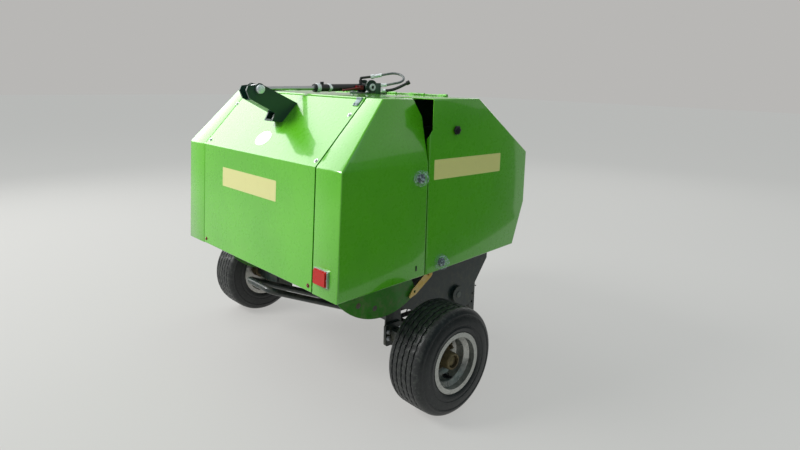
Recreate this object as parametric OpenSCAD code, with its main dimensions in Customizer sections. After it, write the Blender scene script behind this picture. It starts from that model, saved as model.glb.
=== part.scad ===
// Small round baler carried on two wheels and a three-point hitch.
// Units are millimetres. X is to the machine's right, Y is forward, Z is up.
// Heights are from the ground. Lengths in the tables are from the wheel axle.

/* [Place] */
// Wheel axle, along the travel direction
axle_y = -171; // [-400:1:400]

/* [Body outline, side view] */
// Lower edge of the rear face
rear_low = [-419, 481]; // [-900:1:1300]
// Bend between the rear face and the rear slant
rear_mid = [-403, 936]; // [-900:1:1300]
// Rear edge of the flat top
top_rear = [-178, 1175]; // [-900:1:1300]
// Front edge of the flat top
top_front = [290, 1175]; // [-900:1:1300]
// Bend between the front slant and the nose
nose_top = [629, 940]; // [-900:1:1300]
// Lower edge of the nose
nose_low = [629, 715]; // [-900:1:1300]
// Front end of the side covers' lower edge
front_low = [563, 528]; // [-900:1:1300]

/* [Covers] */
// Half width over the side covers
cover_x = 575; // [450:1:750]
// Half width of the rear covers at the top, where they lean in
lean_x = 520; // [400:1:750]
// Inner edge of the rear covers
rear_cover_in_x = 426; // [350:1:600]
// Inner edge of the front covers
front_cover_in_x = 409; // [350:1:600]
// Half width of the middle gate panel
panel_x = 422.5; // [350:0.5:600]
// Half width of the hood
hood_x = 405; // [350:1:600]
// Sheet thickness
skin = 3; // [1:0.5:6]
// Outer radius of the sheets' bends
fold_r = 6; // [4:0.5:15]
// Width of the folded lips
lip = 18; // [12:1:40]
// Depth and height of the channels inside the gate panel
channel = [22, 46]; // [10:1:80]
// Heights of those channels
channel_z = [560, 820]; // [400:1:1100]
// Side seam between gate and front covers
seam_y = 10; // [-100:1:100]
// Width of the side seam
seam_gap = 5; // [3:0.5:12]
// Height of the covers' lower edge at the seam
seam_low_z = 497; // [400:1:600]
// Height where the rear cover's front edge starts to slant back
wedge_z = 1100; // [900:1:1200]
// Rear cover's front edge at the top
wedge_top_y = -30; // [-120:1:50]
// Lower and upper end of the step in the front cover's rear edge
step_z = [1044, 1060]; // [900:1:1200]
// Front cover's rear edge above the step
step_y = 26; // [0:1:80]
// Rear edge of the hood's top
hood_rear_y = -163; // [-300:1:100]
// Front face of the hood between the covers
hood_front_y = 600; // [400:1:800]
// Lower edge of the hood's front face
hood_low_z = 722; // [500:1:900]
// Radius of the posts that carry the covers
post_r = 8; // [4:0.5:20]
// Radius of the hand knobs and of the small upper ones
knob_r = [19, 11]; // [6:0.5:40]
// Length of the hand knobs
knob_l = 14; // [6:0.5:40]
// Middle of the lid's hinge, from the front edge of the flat top
lid_hinge = [14, 3]; // [1:0.5:40]
// Radius of the hinge's knuckles and of its pin
knuckle_r = [6, 3]; // [2:0.5:15]

/* [Bale chamber] */
// Middle of the chamber
chamber = [-60, 600]; // [-900:1:1300]
// Radius of the gate's side walls
chamber_r = 305; // [200:1:500]
// Radius of a roller
roller_r = 22; // [10:1:60]
// Radius of the ring of rollers
ring_r = 262; // [150:1:450]
// Angle from one roller to the next
roller_step = 20; // [10:1:60]
// First and last roller angle in the front, counted from straight ahead
front_rollers_deg = [-20, 80]; // [-180:1:360]
// First and last roller angle in the gate
gate_rollers_deg = [100, 260]; // [-180:1:360]
// First and last roller angle in the floor
floor_rollers_deg = [280, 300]; // [-180:1:360]
// Radius of a roller's journal
journal_r = 12; // [5:0.5:30]
// Height and width of a roller's ribs
roller_rib = [2.5, 7]; // [1:0.5:12]
// Number of ribs on a roller
rib_count = 10; // [4:2:16]
// Gap between a roller and the walls beside it
roller_gap = 2; // [0.5:0.5:10]
// Radius and depth of the bearing housings
bearing_size = [30, 10]; // [5:0.5:60]
// Gap between the rollers and the wrapper sheet
wrap_gap = 8; // [2:1:30]

/* [Side frames and gate walls] */
// Outer face of the fixed side frames
frame_x = 405; // [300:1:600]
// Thickness of the side frames
frame_t = 6; // [3:0.5:20]
// Inner face of the gate's side walls
wall_x = 411; // [300:1:600]
// Thickness of the gate's side walls
wall_t = 4; // [2:0.5:20]
// Gate pivot
pivot = [10, 1130]; // [-900:1:1300]
// Radius of the pivot pins
pivot_r = 15; // [5:0.5:40]
// Radius of the ears on the pivot pins
ear_r = 32; // [20:1:80]
// Radial clearance of turning pins
run_gap = 0.05; // [0.01:0.01:0.1]

/* [Gate arm and cylinder] */
// Pin at the arm on the gate
arm_pin = [-389, 1193]; // [-900:1:1300]
// Pin at the lug on the hood
lug_pin = [189, 1202]; // [-900:1:1300]
// Radius of both pins
cyl_pin_r = 10; // [4:0.5:30]
// Inner face of the arm's and the lug's cheeks
cheek_in_x = 22; // [10:0.5:60]
// Thickness of the cheeks
cheek_t = 8; // [3:0.5:20]
// Radius of the barrel
barrel_r = 16; // [10:0.5:50]
// Length of the barrel from the lug pin to the gland
barrel_l = 300; // [150:1:600]
// Radius of the rod
rod_r = 9.5; // [4:0.5:30]
// Radius of the eyes
eye_r = 18; // [10:0.5:50]
// Radius of the lug's round heads
lug_r = 33; // [20:1:60]
// Thickness of the lug's base plate
lug_base_t = 6; // [3:0.5:15]

/* [Wheels] */
// Middle of the tyres
wheel_x = 679; // [500:1:900]
// Outer radius of the tyres
tyre_r = 208.5; // [100:0.5:500]
// Width of the tyres
tyre_w = 172; // [60:1:400]
// Radius of the rim's flanges
flange_r = 117; // [60:0.5:300]
// Radius of the bead seats
seat_r = 103; // [50:0.5:300]
// Half width over the rim's flanges
flange_x = 82; // [30:1:200]
// Depth and half width of the tread grooves
groove = [5, 2.5]; // [1:0.5:12]
// Distance from groove to groove
groove_step = 24; // [8:1:60]
// Sheet thickness of the rims
rim_t = 4; // [2:0.5:10]
// Outer face of the rim's disc, from the tyre's middle
disc_x = -6; // [-60:1:60]
// Radius of the hubs
hub_r = 36; // [20:1:80]
// Outer end of the hubs, from the tyre's middle
hub_end_x = 66; // [10:1:100]
// Radius of the stub axles
axle_r = 17; // [8:0.5:40]
// Side of the square axle tubes
axle_tube = 44; // [36:1:80]
// Radius of the circle of holes in the rim's disc
disc_hole_ring = 61; // [40:1:150]
// Number of those holes
disc_holes = 5; // [3:1:10]

/* [Pickup] */
// Middle of the reel
reel = [394, 286]; // [-900:1:1300]
// Radius of the tine tips
tip_r = 190; // [100:1:400]
// Radius of the tine bars' circle
bar_ring_r = 98; // [40:1:300]
// Number of tine bars
bar_count = 4; // [2:1:8]
// Number of tines on a bar
tine_count = 12; // [2:1:30]
// Distance from tine to tine
tine_step = 66; // [30:1:150]
// Radius of a tine's wire
tine_r = 3; // [1.5:0.5:8]
// Bent length at the end of a tine, and how far it trails
tine_hook = [34, 16]; // [0:1:80]
// Radius of a tine's coil
coil_r = 16; // [8:0.5:30]
// Radius of the stripper bands
band_r = 137; // [80:1:350]
// Width of a band
band_w = 38; // [10:1:100]
// Rear end of the bands
band_rear_y = 190; // [0:1:400]
// Sheet thickness of the bands
band_t = 2.5; // [1:0.5:6]

/* [Hitch and drive] */
// Rear and front face of the front beams
beam_y = [603, 663]; // [300:1:900]
// Lower and upper face of the lower beam
low_beam_z = [470, 530]; // [200:1:900]
// Lower and upper face of the upper beam
top_beam_z = [880, 930]; // [400:1:1200]
// Lower hitch pins
low_pin = [742, 500]; // [-900:1:1300]
// Shoulder of the lower hitch pins, half the span
low_pin_x = 341.5; // [200:0.5:600]
// Radius and length of the lower hitch pins
low_pin_size = [11, 48]; // [5:0.5:100]
// Top link pin
top_pin = [722, 960]; // [-900:1:1300]
// Radius of the top link bore
top_bore_r = 9.65; // [5:0.05:30]
// Middle of the gearbox
gearbox = [570, 640]; // [-900:1:1300]
// Cross shaft of the gearbox, from its middle
cross_offset = [-26, 18]; // [-40:1:40]
// Radius of the drive shaft's end
pto_r = 17.45; // [10:0.05:40]
// Front end of the drive shaft
pto_end_y = 790; // [600:1:1200]
// Length of the drive shaft's end
pto_l = 75; // [30:1:200]
// Radius of the shaft behind it
pto_back_r = 22; // [12:0.5:50]
// Half width, rear and front length and half height of the gear case
case_size = [62, 60, 62, 70]; // [30:1:200]
// Cross bar of the crop guard above the pickup
guard_bar = [540, 510]; // [-300:1:900]
// Place of the parking legs
leg_at = [240, 686]; // [-900:1:1300]
// Side of the legs' square tube
leg_w = 38; // [20:1:80]

/* [Chains on the left side] */
// Inner side of the two chains, from the middle
chain_x = [432, 448]; // [400:1:560]
// Width and height of a chain
chain_size = [8, 9]; // [3:0.5:30]
// Root radius of the gearbox, roller, second roller and reel sprockets
sprocket_r = [38, 66, 34, 56]; // [15:1:150]
// Height of the sprockets' teeth
tooth_h = 6; // [2:0.5:12]

/* [Bale kicker] */
// Pivot of the kicker under the beam
kick_pivot = [15, 216]; // [-900:1:1300]
// Middle of the kicker's cross tube
kick_tip = [-387, 388]; // [-900:1:1300]
// Half width of the kicker
kick_x = 97; // [40:1:400]
// Radius of the kicker's tube
kick_r = 13.5; // [5:0.5:40]
// Radius of its bends
kick_bend = 40; // [15:1:150]
// Rear, front, lower and upper face of the cross beam under the chamber
under_beam = [0, 40, 250, 290]; // [-300:1:600]

/* [Lamp] */
// Middle of the lamp, across and up
lamp_at = [485, 555]; // [-900:1:1300]
// Width and height of the lamp
lamp_size = [74, 56]; // [20:1:200]

/* [Hidden] */
$fn = 48;
half_seam = seam_gap / 2;
far = 400;
// Inner faces of the side frames
in_x = frame_x - frame_t;
// Front and rear end, lower face and height of the twine box
box_y = [top_front[0] - 28, hood_front_y - fold_r + skin];
box_z = hood_low_z + skin;
// Radius of the reel's shaft and of the cross shaft, and the cross shaft's place
reel_shaft_r = 14;
cross_shaft_r = 14;
cross_shaft = gearbox + cross_offset;

// Posts inside the covers: along, up. The first two of each row carry knobs
front_posts = [
    [seam_y + 82, seam_low_z + 39],
    [seam_y + 144, wedge_z - 46],
    [nose_top[0] - 44, nose_top[1] - 35],
    [front_low[0] - 13, front_low[1] + 30]];
rear_posts = [
    [seam_y - 46, rear_mid[1] - 52],
    [rear_low[0] + 64, rear_low[1] + 79],
    [rear_mid[0] + 63, rear_mid[1] - 36]];

// Corners of the side frames, from the rear top around the front to the axle: along, up
frame_outline = [
    [pivot[0] - 44, pivot[1] - 30],
    [pivot[0] - 44, pivot[1] + 20],
    [pivot[0] - 15, top_rear[1] - skin],
    [top_front[0] - 8, top_front[1] - skin],
    [nose_top[0] - 32, nose_top[1] + 17],
    [beam_y[0], nose_top[1]],
    [beam_y[0], low_beam_z[0] - 52],
    [reel[0] + 125, reel[1] + 19],
    [reel[0] + 98, reel[1] - 68],
    [reel[0] + 26, reel[1] - 90],
    [reel[0] - 94, reel[1] - 86],
    [reel[0] - 194, reel[1] - 54],
    [96, tyre_r + 76.5],
    [48, tyre_r + 91.5],
    [50, tyre_r + 23.5],
    [4, tyre_r - 58.5],
    [-41, tyre_r - 30.5],
    [-34, tyre_r + 91.5]];

// Direction of a vector, and the direction to its right
function unit(v) = v / norm(v);
function right_of(v) = [unit(v)[1], -unit(v)[0]];

// Corner of an outline a-b-c moved in by t, to the right of the walking direction
function corner(a, b, c, t) = b + t * (right_of(b - a) + right_of(c - b))
    / (1 + right_of(b - a) * right_of(c - b));

// Places lengths that are counted from the axle
module from_axle() {
    translate([0, axle_y, 0]) children();
}

// A side-view outline made solid from x0 to x1
module across(x0, x1) {
    rotate([90, 0, 90]) translate([0, 0, x0]) linear_extrude(x1 - x0) children();
}

// A round bar along X
module bar_x(r, x0, x1, at) {
    translate([x0, at[0], at[1]]) rotate([0, 90, 0]) cylinder(h = x1 - x0, r = r);
}

// A round bar along Y
module bar_y(r, y0, y1, x, z) {
    translate([x, y0, z]) rotate([-90, 0, 0]) cylinder(h = y1 - y0, r = r);
}

// A revolved outline of radius and length, its axis along X from x0
module turned_x(x0, at) {
    translate([x0, at[0], at[1]]) rotate([0, 90, 0]) rotate_extrude() children();
}

// A block from low corner to high corner
module block(low, high) {
    translate(low) cube(high - low);
}

// A round bar between two points
module rod_between(a, b, r) {
    d = b - a;
    l = norm(d);
    translate(a) rotate([0, acos(d[2] / l), atan2(d[1], d[0])]) cylinder(h = l, r = r);
}

module both_sides() {
    children();
    mirror([1, 0, 0]) children();
}

// A rectangle about the middle with round corners
module round_rect(w, h, r) {
    square([w - 2 * r, h], center = true);
    square([w, h - 2 * r], center = true);
    for (x = [-1, 1], y = [-1, 1]) translate([x * (w / 2 - r), y * (h / 2 - r)]) circle(r = r);
}

// Outline with its corners from number a to number b rounded by r. The rounds stand a hair
// proud of their tangents, so that they cross the straight edges cleanly
module rounded(points, a, b, r) {
    hair = 0.03;
    difference() {
        polygon(points);
        for (i = [a : b]) {
            n = right_of(points[i] - points[i - 1]);
            m = right_of(points[i + 1] - points[i]);
            c = corner(points[i - 1], points[i], points[i + 1], r);
            difference() {
                polygon([c, c - (r + 1) * n, c - (r + 1) * (n + m) / (1 + n * m), c - (r + 1) * m]);
                translate(c) circle(r = r + hair);
            }
        }
    }
}

// Side view of a bent sheet: t thick on the right of the line, its bends to the right
module bent(line, t, r) {
    last = len(line) - 1;
    u = unit(line[1] - line[0]);
    v = unit(line[last] - line[last - 1]);
    closing = [line[last] + 2 * t * right_of(v), line[0] + 2 * t * right_of(u)];
    // The hollow runs this far past the ends and the closing line
    past = 4 * t;
    aside = -past * right_of(closing[1] - closing[0]);
    hollow = [for (i = [1 : last - 1]) corner(line[i - 1], line[i], line[i + 1], t)];
    difference() {
        rounded(concat(line, closing), 1, last - 1, r);
        rounded(concat([line[0] + t * right_of(u) - past * u], hollow,
            [line[last] + t * right_of(v) + past * v], [for (p = closing) p + aside]),
            1, last - 1, r - t);
    }
}

// Sheet that stays open at its back: a channel of depth d and height h on the face a-b,
// its middle at the share s of the face
module channel_on(a, b, s, d, h) {
    n = right_of(b - a);
    u = unit(b - a);
    m = a + s * (b - a);
    root = m - skin / 2 * n;
    bent([root + h / 2 * u, m + h / 2 * u + d * n, m - h / 2 * u + d * n, root - h / 2 * u],
        skin, fold_r);
}

// Side view of the gate with a margin t off the outer faces
function gate_rear(t) = [
    corner(rear_low - [0, 1], rear_low, rear_mid, t),
    corner(rear_low, rear_mid, top_rear, t),
    corner(rear_mid, top_rear, top_front, t)];

// Front view of a rear cover, t in from its outer faces
module lean_shape(x_in, t, z_low) {
    polygon([[x_in, z_low], [cover_x - t, z_low], [cover_x - t, rear_mid[1]],
        [lean_x - t, top_rear[1]], [lean_x - t, top_rear[1] + far], [x_in, top_rear[1] + far]]);
}

module lean_block(x_in, t, z_low) {
    translate([0, far, 0]) rotate([90, 0, 0]) linear_extrude(3 * far) lean_shape(x_in, t, z_low);
}

// Lip folded in along the edge a-b of a side cover
module side_lip(a, b) {
    across(cover_x - lip, cover_x - skin)
        polygon([a, b, b + skin * right_of(b - a), a + skin * right_of(b - a)]);
}

module gate_cover() {
    seam = seam_y - half_seam;
    outer = concat(gate_rear(0), [[wedge_top_y, top_rear[1]], [seam, wedge_z],
        [seam, seam_low_z]]);
    inner = concat([gate_rear(skin)[0] - [0, far]], gate_rear(skin),
        [[far, top_rear[1] - skin], [far, seam_low_z - far]]);
    difference() {
        intersection() {
            across(rear_cover_in_x, cover_x) polygon(outer);
            lean_block(rear_cover_in_x - 1, 0, rear_low[1] - far);
        }
        intersection() {
            across(rear_cover_in_x - 1, cover_x) polygon(inner);
            lean_block(rear_cover_in_x - 1, skin, rear_low[1] - far);
        }
    }
    // Lips under the side, along the seam and under the rear face
    side_lip([seam, seam_low_z], rear_low + [skin, 0]);
    side_lip([seam, wedge_z], [seam, seam_low_z + skin]);
    across(rear_cover_in_x, cover_x - lip)
        polygon([rear_low + [skin, 0], rear_low + [skin, skin], rear_low + [lip, skin],
            rear_low + [lip, 0]]);
    // Folded inner edge beside the middle panel
    edge = gate_rear(skin);
    deep = gate_rear(lip);
    across(rear_cover_in_x, rear_cover_in_x + skin)
        polygon([edge[0] + [0, skin], edge[1], edge[2], edge[2] - [0, lip], deep[1],
            deep[0] + [0, skin]]);
}

module front_cover() {
    seam = seam_y + half_seam;
    outer = [[seam, seam_low_z], [seam, step_z[0]], [step_y, step_z[1]],
        [step_y, top_front[1]], top_front, nose_top, nose_low, front_low];
    inner = [[-far, seam_low_z - far], [-far, top_front[1] - skin],
        corner([0, top_front[1]], top_front, nose_top, skin),
        corner(top_front, nose_top, nose_low, skin),
        corner(nose_top, nose_low, front_low, skin),
        corner(nose_low, front_low, front_low + (front_low - nose_low), skin),
        front_low + 0.6 * (front_low - nose_low) + [-skin, -40]];
    difference() {
        across(front_cover_in_x, cover_x) polygon(outer);
        across(front_cover_in_x - 1, cover_x - skin) polygon(inner);
    }
    // Lips under the side and along the seam
    side_lip(front_low - [lip, (front_low[1] - seam_low_z) * lip / (front_low[0] - seam)],
        [seam, seam_low_z]);
    side_lip([seam, seam_low_z + skin], [seam, step_z[0]]);
}

// Flanged bearing housing on a wall
module bearing(x0, at) {
    turned_x(x0, at) polygon([[journal_r + run_gap, 0], [bearing_size[0], 0],
        [bearing_size[0], bearing_size[1] / 2], [bearing_size[0] - 8, bearing_size[1] / 2],
        [journal_r + 6, bearing_size[1]], [journal_r + run_gap, bearing_size[1]]]);
}

// Angles of the rollers in the front, in the floor and in the gate
front_angles = [for (a = [front_rollers_deg[0] : roller_step : front_rollers_deg[1]]) a];
floor_angles = [for (a = [floor_rollers_deg[0] : roller_step : floor_rollers_deg[1]]) a];
gate_angles = [for (a = [gate_rollers_deg[0] : roller_step : gate_rollers_deg[1]]) a];

function roller_at(a) = chamber + ring_r * [cos(a), sin(a)];

// A bearing stands outside the side frame only where the gate's wall leaves room
function clear_of_gate(a) = roller_at(a)[0] > seam_y + bearing_size[0];

// The gate's lower rollers end flush, where no cover hides a bearing
function behind_cover(a) = roller_at(a)[1] > rear_low[1] + bearing_size[0];

// A ribbed roller from -x_half to x_half with journals to -end_x and end_x
module roller(x_half, end_x, at) {
    across(-x_half, x_half) translate(at) {
        circle(r = roller_r - roller_rib[0]);
        intersection() {
            circle(r = roller_r);
            for (k = [0 : rib_count / 2 - 1]) rotate(k * 360 / rib_count)
                square([3 * roller_r, roller_rib[1]], center = true);
        }
    }
    bar_x(journal_r, -end_x, end_x, at);
}

module side_frame(drive_hole) {
    difference() {
        union() {
            across(in_x, frame_x) polygon(frame_outline);
            bar_x(38, frame_x, frame_x + 16, reel);
            bar_x(ear_r, in_x, frame_x + 3, pivot);
            // Flange of the axle tube
            across(frame_x, frame_x + 12) translate([0, tyre_r]) round_rect(92, 92, 12);
            for (a = front_angles) if (clear_of_gate(a)) bearing(frame_x, roller_at(a));
        }
        bar_x(reel_shaft_r + run_gap, in_x - 20, frame_x + 30, reel);
        for (a = concat(front_angles, floor_angles))
            bar_x(journal_r + run_gap, in_x - 1, frame_x + 1, roller_at(a));
        if (drive_hole) bar_x(cross_shaft_r + run_gap, in_x - 1, frame_x + 1, cross_shaft);
    }
    bar_x(pivot_r, frame_x + 3, wall_x + wall_t + 12, pivot);
    // Square axle tube, its end plate and the stub axle
    tube_end = wheel_x - 78;
    translate([0, 0, tyre_r]) block([frame_x + 12, -axle_tube / 2, -axle_tube / 2],
        [tube_end, axle_tube / 2, axle_tube / 2]);
    bar_x(axle_r + 8, tube_end, wheel_x - 50, [0, tyre_r]);
    bar_x(axle_r, wheel_x - 50, wheel_x + hub_end_x - 12, [0, tyre_r]);
    for (p = front_posts) bar_x(post_r, frame_x, cover_x - skin, p);
}

module gate_wall() {
    edge = gate_rear(skin + 2);
    front = seam_y - 2;
    difference() {
        union() {
            across(wall_x, wall_x + wall_t) intersection() {
                union() {
                    translate(chamber) circle(r = chamber_r, $fn = 96);
                    polygon([[rear_low[0] + 8, rear_low[1] + 22], rear_mid + [8, -4],
                        top_rear + [-14, -26], [chamber[0], top_rear[1] - 26], pivot,
                        [front, wedge_z - 40], [front, chamber[1] - 40], chamber]);
                    translate(pivot) circle(r = ear_r);
                }
                // Clear of the panel behind and of the frame's post in front
                polygon([edge[0] - [0, far], edge[0], edge[1], edge[2],
                    [pivot[0] + 50, edge[2][1]], [pivot[0] + 50, wedge_z], [front, wedge_z - 40],
                    [front, chamber[1]], [60, 480], [122, 372], [122, 250]]);
            }
            for (a = gate_angles) if (behind_cover(a)) bearing(wall_x + wall_t, roller_at(a));
        }
        bar_x(pivot_r + run_gap, wall_x - 1, wall_x + wall_t + 1, pivot);
        for (a = gate_angles)
            bar_x(journal_r + run_gap, wall_x - 1, wall_x + wall_t + 1, roller_at(a));
    }
    for (p = rear_posts) bar_x(post_r, wall_x + wall_t, cover_x - skin, p);
}

module side_frame_right() {
    color([0.10, 0.15, 0.14]) from_axle() side_frame(false);
}

module side_frame_left() {
    color([0.10, 0.15, 0.14]) from_axle() mirror([1, 0, 0]) side_frame(true);
}

module under_beam() {
    // Ears beside the kicker's hubs, and their reach along and below the pivot
    ear_t = 8;
    ear_gap = 1.5;
    foot = 16;
    color([0.10, 0.15, 0.14]) from_axle() {
        block([-in_x, under_beam[0], under_beam[2]], [in_x, under_beam[1], under_beam[3]]);
        both_sides() {
            for (x = [kick_x - kick_hub_l - ear_gap - ear_t, kick_x + kick_hub_l + ear_gap])
                across(x, x + ear_t) union() {
                    polygon([[under_beam[0], under_beam[2]], [under_beam[1], under_beam[2]],
                        kick_pivot + [foot, 0], kick_pivot - [foot, 0]]);
                    translate(kick_pivot) circle(r = foot);
                }
            bar_x(cyl_pin_r, kick_x - kick_hub_l - ear_gap - ear_t - 4,
                kick_x + kick_hub_l + ear_gap + ear_t + 4, kick_pivot);
        }
    }
}

module front_frame() {
    tube = 40;
    post_x = leg_at[0] + 50;
    ear_t = 10;
    seat_z = gearbox[1] - case_size[3];
    color([0.10, 0.15, 0.14]) from_axle() {
        difference() {
            union() {
                block([-in_x, beam_y[0], low_beam_z[0]], [in_x, beam_y[1], low_beam_z[1]]);
                block([-in_x, beam_y[0], top_beam_z[0]], [in_x, beam_y[0] + tube, top_beam_z[1]]);
                both_sides() {
                    // Posts between the beams
                    block([post_x, beam_y[0], low_beam_z[1]],
                        [post_x + tube, beam_y[0] + tube, top_beam_z[0]]);
                    // Lower hitch brackets
                    across(low_pin_x - 12, low_pin_x) union() {
                        translate(low_pin) circle(r = 28);
                        polygon([[beam_y[1], low_beam_z[0]], [beam_y[1], low_beam_z[1] + 30],
                            low_pin + [9, 26.5], low_pin + [-3, -27.8]]);
                    }
                    // Top link ears
                    across(cheek_in_x, cheek_in_x + ear_t) union() {
                        translate(top_pin) circle(r = 27);
                        polygon([[beam_y[0] + tube, top_beam_z[0]],
                            [beam_y[0] + tube, top_beam_z[1] + 45], top_pin + [-6, 26],
                            top_pin + [8, -25]]);
                    }
                    // Diagonal braces from the lower beam to the top
                    rod_between([post_x + 10, beam_y[1] - 8, low_beam_z[1] + 10],
                        [cheek_in_x + 25, beam_y[1] - 8, top_beam_z[1] - 22], 12);
                }
                // Seat of the gear case
                block([-case_size[0] - 10, gearbox[0] - case_size[1], low_beam_z[1]],
                    [case_size[0] + 10, beam_y[1], seat_z]);
            }
            bar_x(top_bore_r, -60, 60, top_pin);
        }
    }
}

module hitch_pins() {
    color([0.62, 0.60, 0.52]) from_axle() both_sides() difference() {
        union() {
            bar_x(low_pin_size[0], low_pin_x, low_pin_x + low_pin_size[1], low_pin);
            bar_x(18, low_pin_x - 20, low_pin_x - 12, low_pin);
        }
        // Hole for the linch pin
        translate([low_pin_x + low_pin_size[1] - 9, low_pin[0], low_pin[1] - 20])
            cylinder(h = 40, r = 3.5);
    }
}

// Hinge axis of the lid, and the front edge of the flat top
lid_axis = top_front + lid_hinge;
lid_edge = top_front[0] + lid_hinge[0] - knuckle_r[0] - 2;

module hood() {
    color([0.25, 0.62, 0.13]) from_axle() {
        // Flat top with its rear edge folded down
        across(-in_x, in_x) bent([[hood_rear_y, top_front[1] - lip], [hood_rear_y, top_front[1]],
            [lid_edge, top_front[1]]], skin, fold_r);
        both_sides() block([in_x, hood_rear_y + fold_r, top_front[1] - skin],
            [hood_x, lid_edge, top_front[1]]);
        // Knuckles, tabs and pin of the lid's hinge
        difference() {
            for (x = knuckle_places(0)) {
                bar_x(knuckle_r[0], x, x + knuckle_l, lid_axis);
                across(x, x + knuckle_l) polygon([[lid_edge - 20, top_front[1] - skin],
                    [lid_edge - 20, top_front[1]], lid_axis, lid_axis + [-1, -knuckle_r[0] + 0.2]]);
            }
            bar_x(knuckle_r[1], -hood_x, hood_x, lid_axis);
        }
        bar_x(knuckle_r[1], knuckle_places(0)[0], knuckle_places(0)[hinge_count - 1] + knuckle_l,
            lid_axis);
        // Front face with a lip under it
        across(-in_x, in_x) bent([[hood_front_y + skin, top_beam_z[0]],
            [hood_front_y + skin, hood_low_z], [hood_front_y - lip, hood_low_z]], skin, fold_r);
    }
}

// Left ends of the hinge's knuckles: even ones on the hood, odd ones on the lid
hinge_count = 5;
knuckle_l = 46;
function knuckle_places(odd) = [for (i = [0 : hinge_count - 1 - odd])
    -hood_x + 20 + odd * (knuckle_l + 1) + i * (2 * hood_x - 40 - knuckle_l) / (hinge_count - 1)];

module wrapper() {
    wrap_r = ring_r + roller_r + wrap_gap;
    ends = [front_rollers_deg[0] - 2, front_rollers_deg[1] + 6];
    color([0.16, 0.40, 0.12]) from_axle() across(-in_x, in_x)
        difference() {
            translate(chamber) circle(r = wrap_r + skin, $fn = 96);
            translate(chamber) circle(r = wrap_r, $fn = 96);
            polygon([chamber, chamber + 4 * wrap_r * [cos(ends[1]), sin(ends[1])],
                chamber + 4 * wrap_r * [-1, 1], chamber + 4 * wrap_r * [-1, -1],
                chamber + 4 * wrap_r * [1, -1],
                chamber + 4 * wrap_r * [cos(ends[0]), sin(ends[0])]]);
        }
}

module front_cover_right() {
    color([0.25, 0.62, 0.13]) from_axle() front_cover();
}

module front_cover_left() {
    color([0.25, 0.62, 0.13]) from_axle() mirror([1, 0, 0]) front_cover();
}

// Slant line of the lid between the flat top and the front face
function lid_z(y) = top_front[1] + (y - top_front[0]) * (nose_top[1] - top_front[1])
    / (nose_top[0] - top_front[0]);

module twine_box() {
    // The rim stays a lip's height under the lid
    low = 9;
    shoulder = top_front[0] + lid_hinge[0];
    color([0.20, 0.45, 0.12]) from_axle() {
        // Bottom with the rear wall folded up from it
        across(-in_x + skin, in_x - skin) bent([[box_y[1] - skin, box_z], [box_y[0], box_z],
            [box_y[0], lid_z(shoulder) - low]], skin, fold_r);
        both_sides() across(in_x - skin, in_x) polygon([[box_y[0], box_z], [box_y[1], box_z],
            [box_y[1], lid_z(box_y[1]) - low], [shoulder, lid_z(shoulder) - low],
            [box_y[0], lid_z(shoulder) - low]]);
        block([-in_x + skin, box_y[1] - skin, box_z], [in_x - skin, box_y[1], lid_z(box_y[1]) - low]);
    }
}

module twine_lid() {
    start = lid_axis[0];
    end = hood_front_y + 8;
    color([0.25, 0.62, 0.13]) from_axle() {
        across(-hood_x + 1, hood_x - 1) bent([[start, lid_z(start) + 1], [end, lid_z(end) + 1],
            [end, lid_z(end) - 24]], skin, fold_r);
        // Stiffening channel under the sheet
        across(-in_x + 30, in_x - 30) channel_on([start, lid_z(start) + 1 - skin],
            [end, lid_z(end) + 1 - skin], 0.55, 12, channel[1]);
        difference() {
            for (x = knuckle_places(1)) {
                bar_x(knuckle_r[0], x, x + knuckle_l, lid_axis);
                across(x, x + knuckle_l) polygon([lid_axis + [-knuckle_r[0] + 1, -1],
                    lid_axis + [knuckle_r[0] - 1, -1], [start + knuckle_r[0] - 1, lid_z(start + 5)],
                    [start, lid_z(start) - 1]]);
            }
            bar_x(knuckle_r[1] + run_gap, -hood_x, hood_x, lid_axis);
        }
    }
}

module cylinder_lug() {
    base = [-56, 66];
    seat = top_front[1] + lug_base_t;
    color([0.10, 0.15, 0.14]) from_axle() {
        block([-60, lug_pin[0] + base[0], top_front[1]], [60, lug_pin[0] + base[1], seat]);
        both_sides() across(cheek_in_x, cheek_in_x + cheek_t) intersection() {
            union() {
                translate(lug_pin) circle(r = lug_r);
                polygon([lug_pin - [lug_r, 0], lug_pin + [lug_r, 0],
                    [lug_pin[0] + lug_r + 12, seat], [lug_pin[0] - lug_r - 4, seat]]);
            }
            translate([lug_pin[0] - far, seat]) square([2 * far, far]);
        }
        // Pin with a flat head on each side
        bar_x(cyl_pin_r, -cheek_in_x - cheek_t, cheek_in_x + cheek_t, lug_pin);
        both_sides() bar_x(cyl_pin_r + 6, cheek_in_x + cheek_t, cheek_in_x + cheek_t + 6, lug_pin);
    }
}

module front_rollers() {
    color([0.32, 0.33, 0.33]) from_axle() {
        for (a = front_angles) roller(in_x - roller_gap,
            clear_of_gate(a) ? frame_x + bearing_size[1] + 2 : frame_x, roller_at(a));
        for (a = floor_angles) roller(in_x - roller_gap, frame_x, roller_at(a));
        // Longer journal for the chains on the left
        bar_x(journal_r, -chain_x[1] - chain_size[0] - 6, -frame_x, roller_at(0));
    }
}

module band_shape() {
    low = reel[1] - band_r;
    high = reel[1] + band_r;
    difference() {
        union() {
            translate(reel) circle(r = band_r, $fn = 72);
            translate([band_rear_y, low]) square([reel[0] - band_rear_y, high - low]);
        }
        translate(reel) circle(r = band_r - band_t, $fn = 72);
        translate([band_rear_y - 1, low + band_t])
            square([reel[0] - band_rear_y + 1, high - low - 2 * band_t]);
    }
}

// Place across of tine number i, and of the band between it and the next
function tine_x(i) = (i - (tine_count - 1) / 2) * tine_step;

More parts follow.
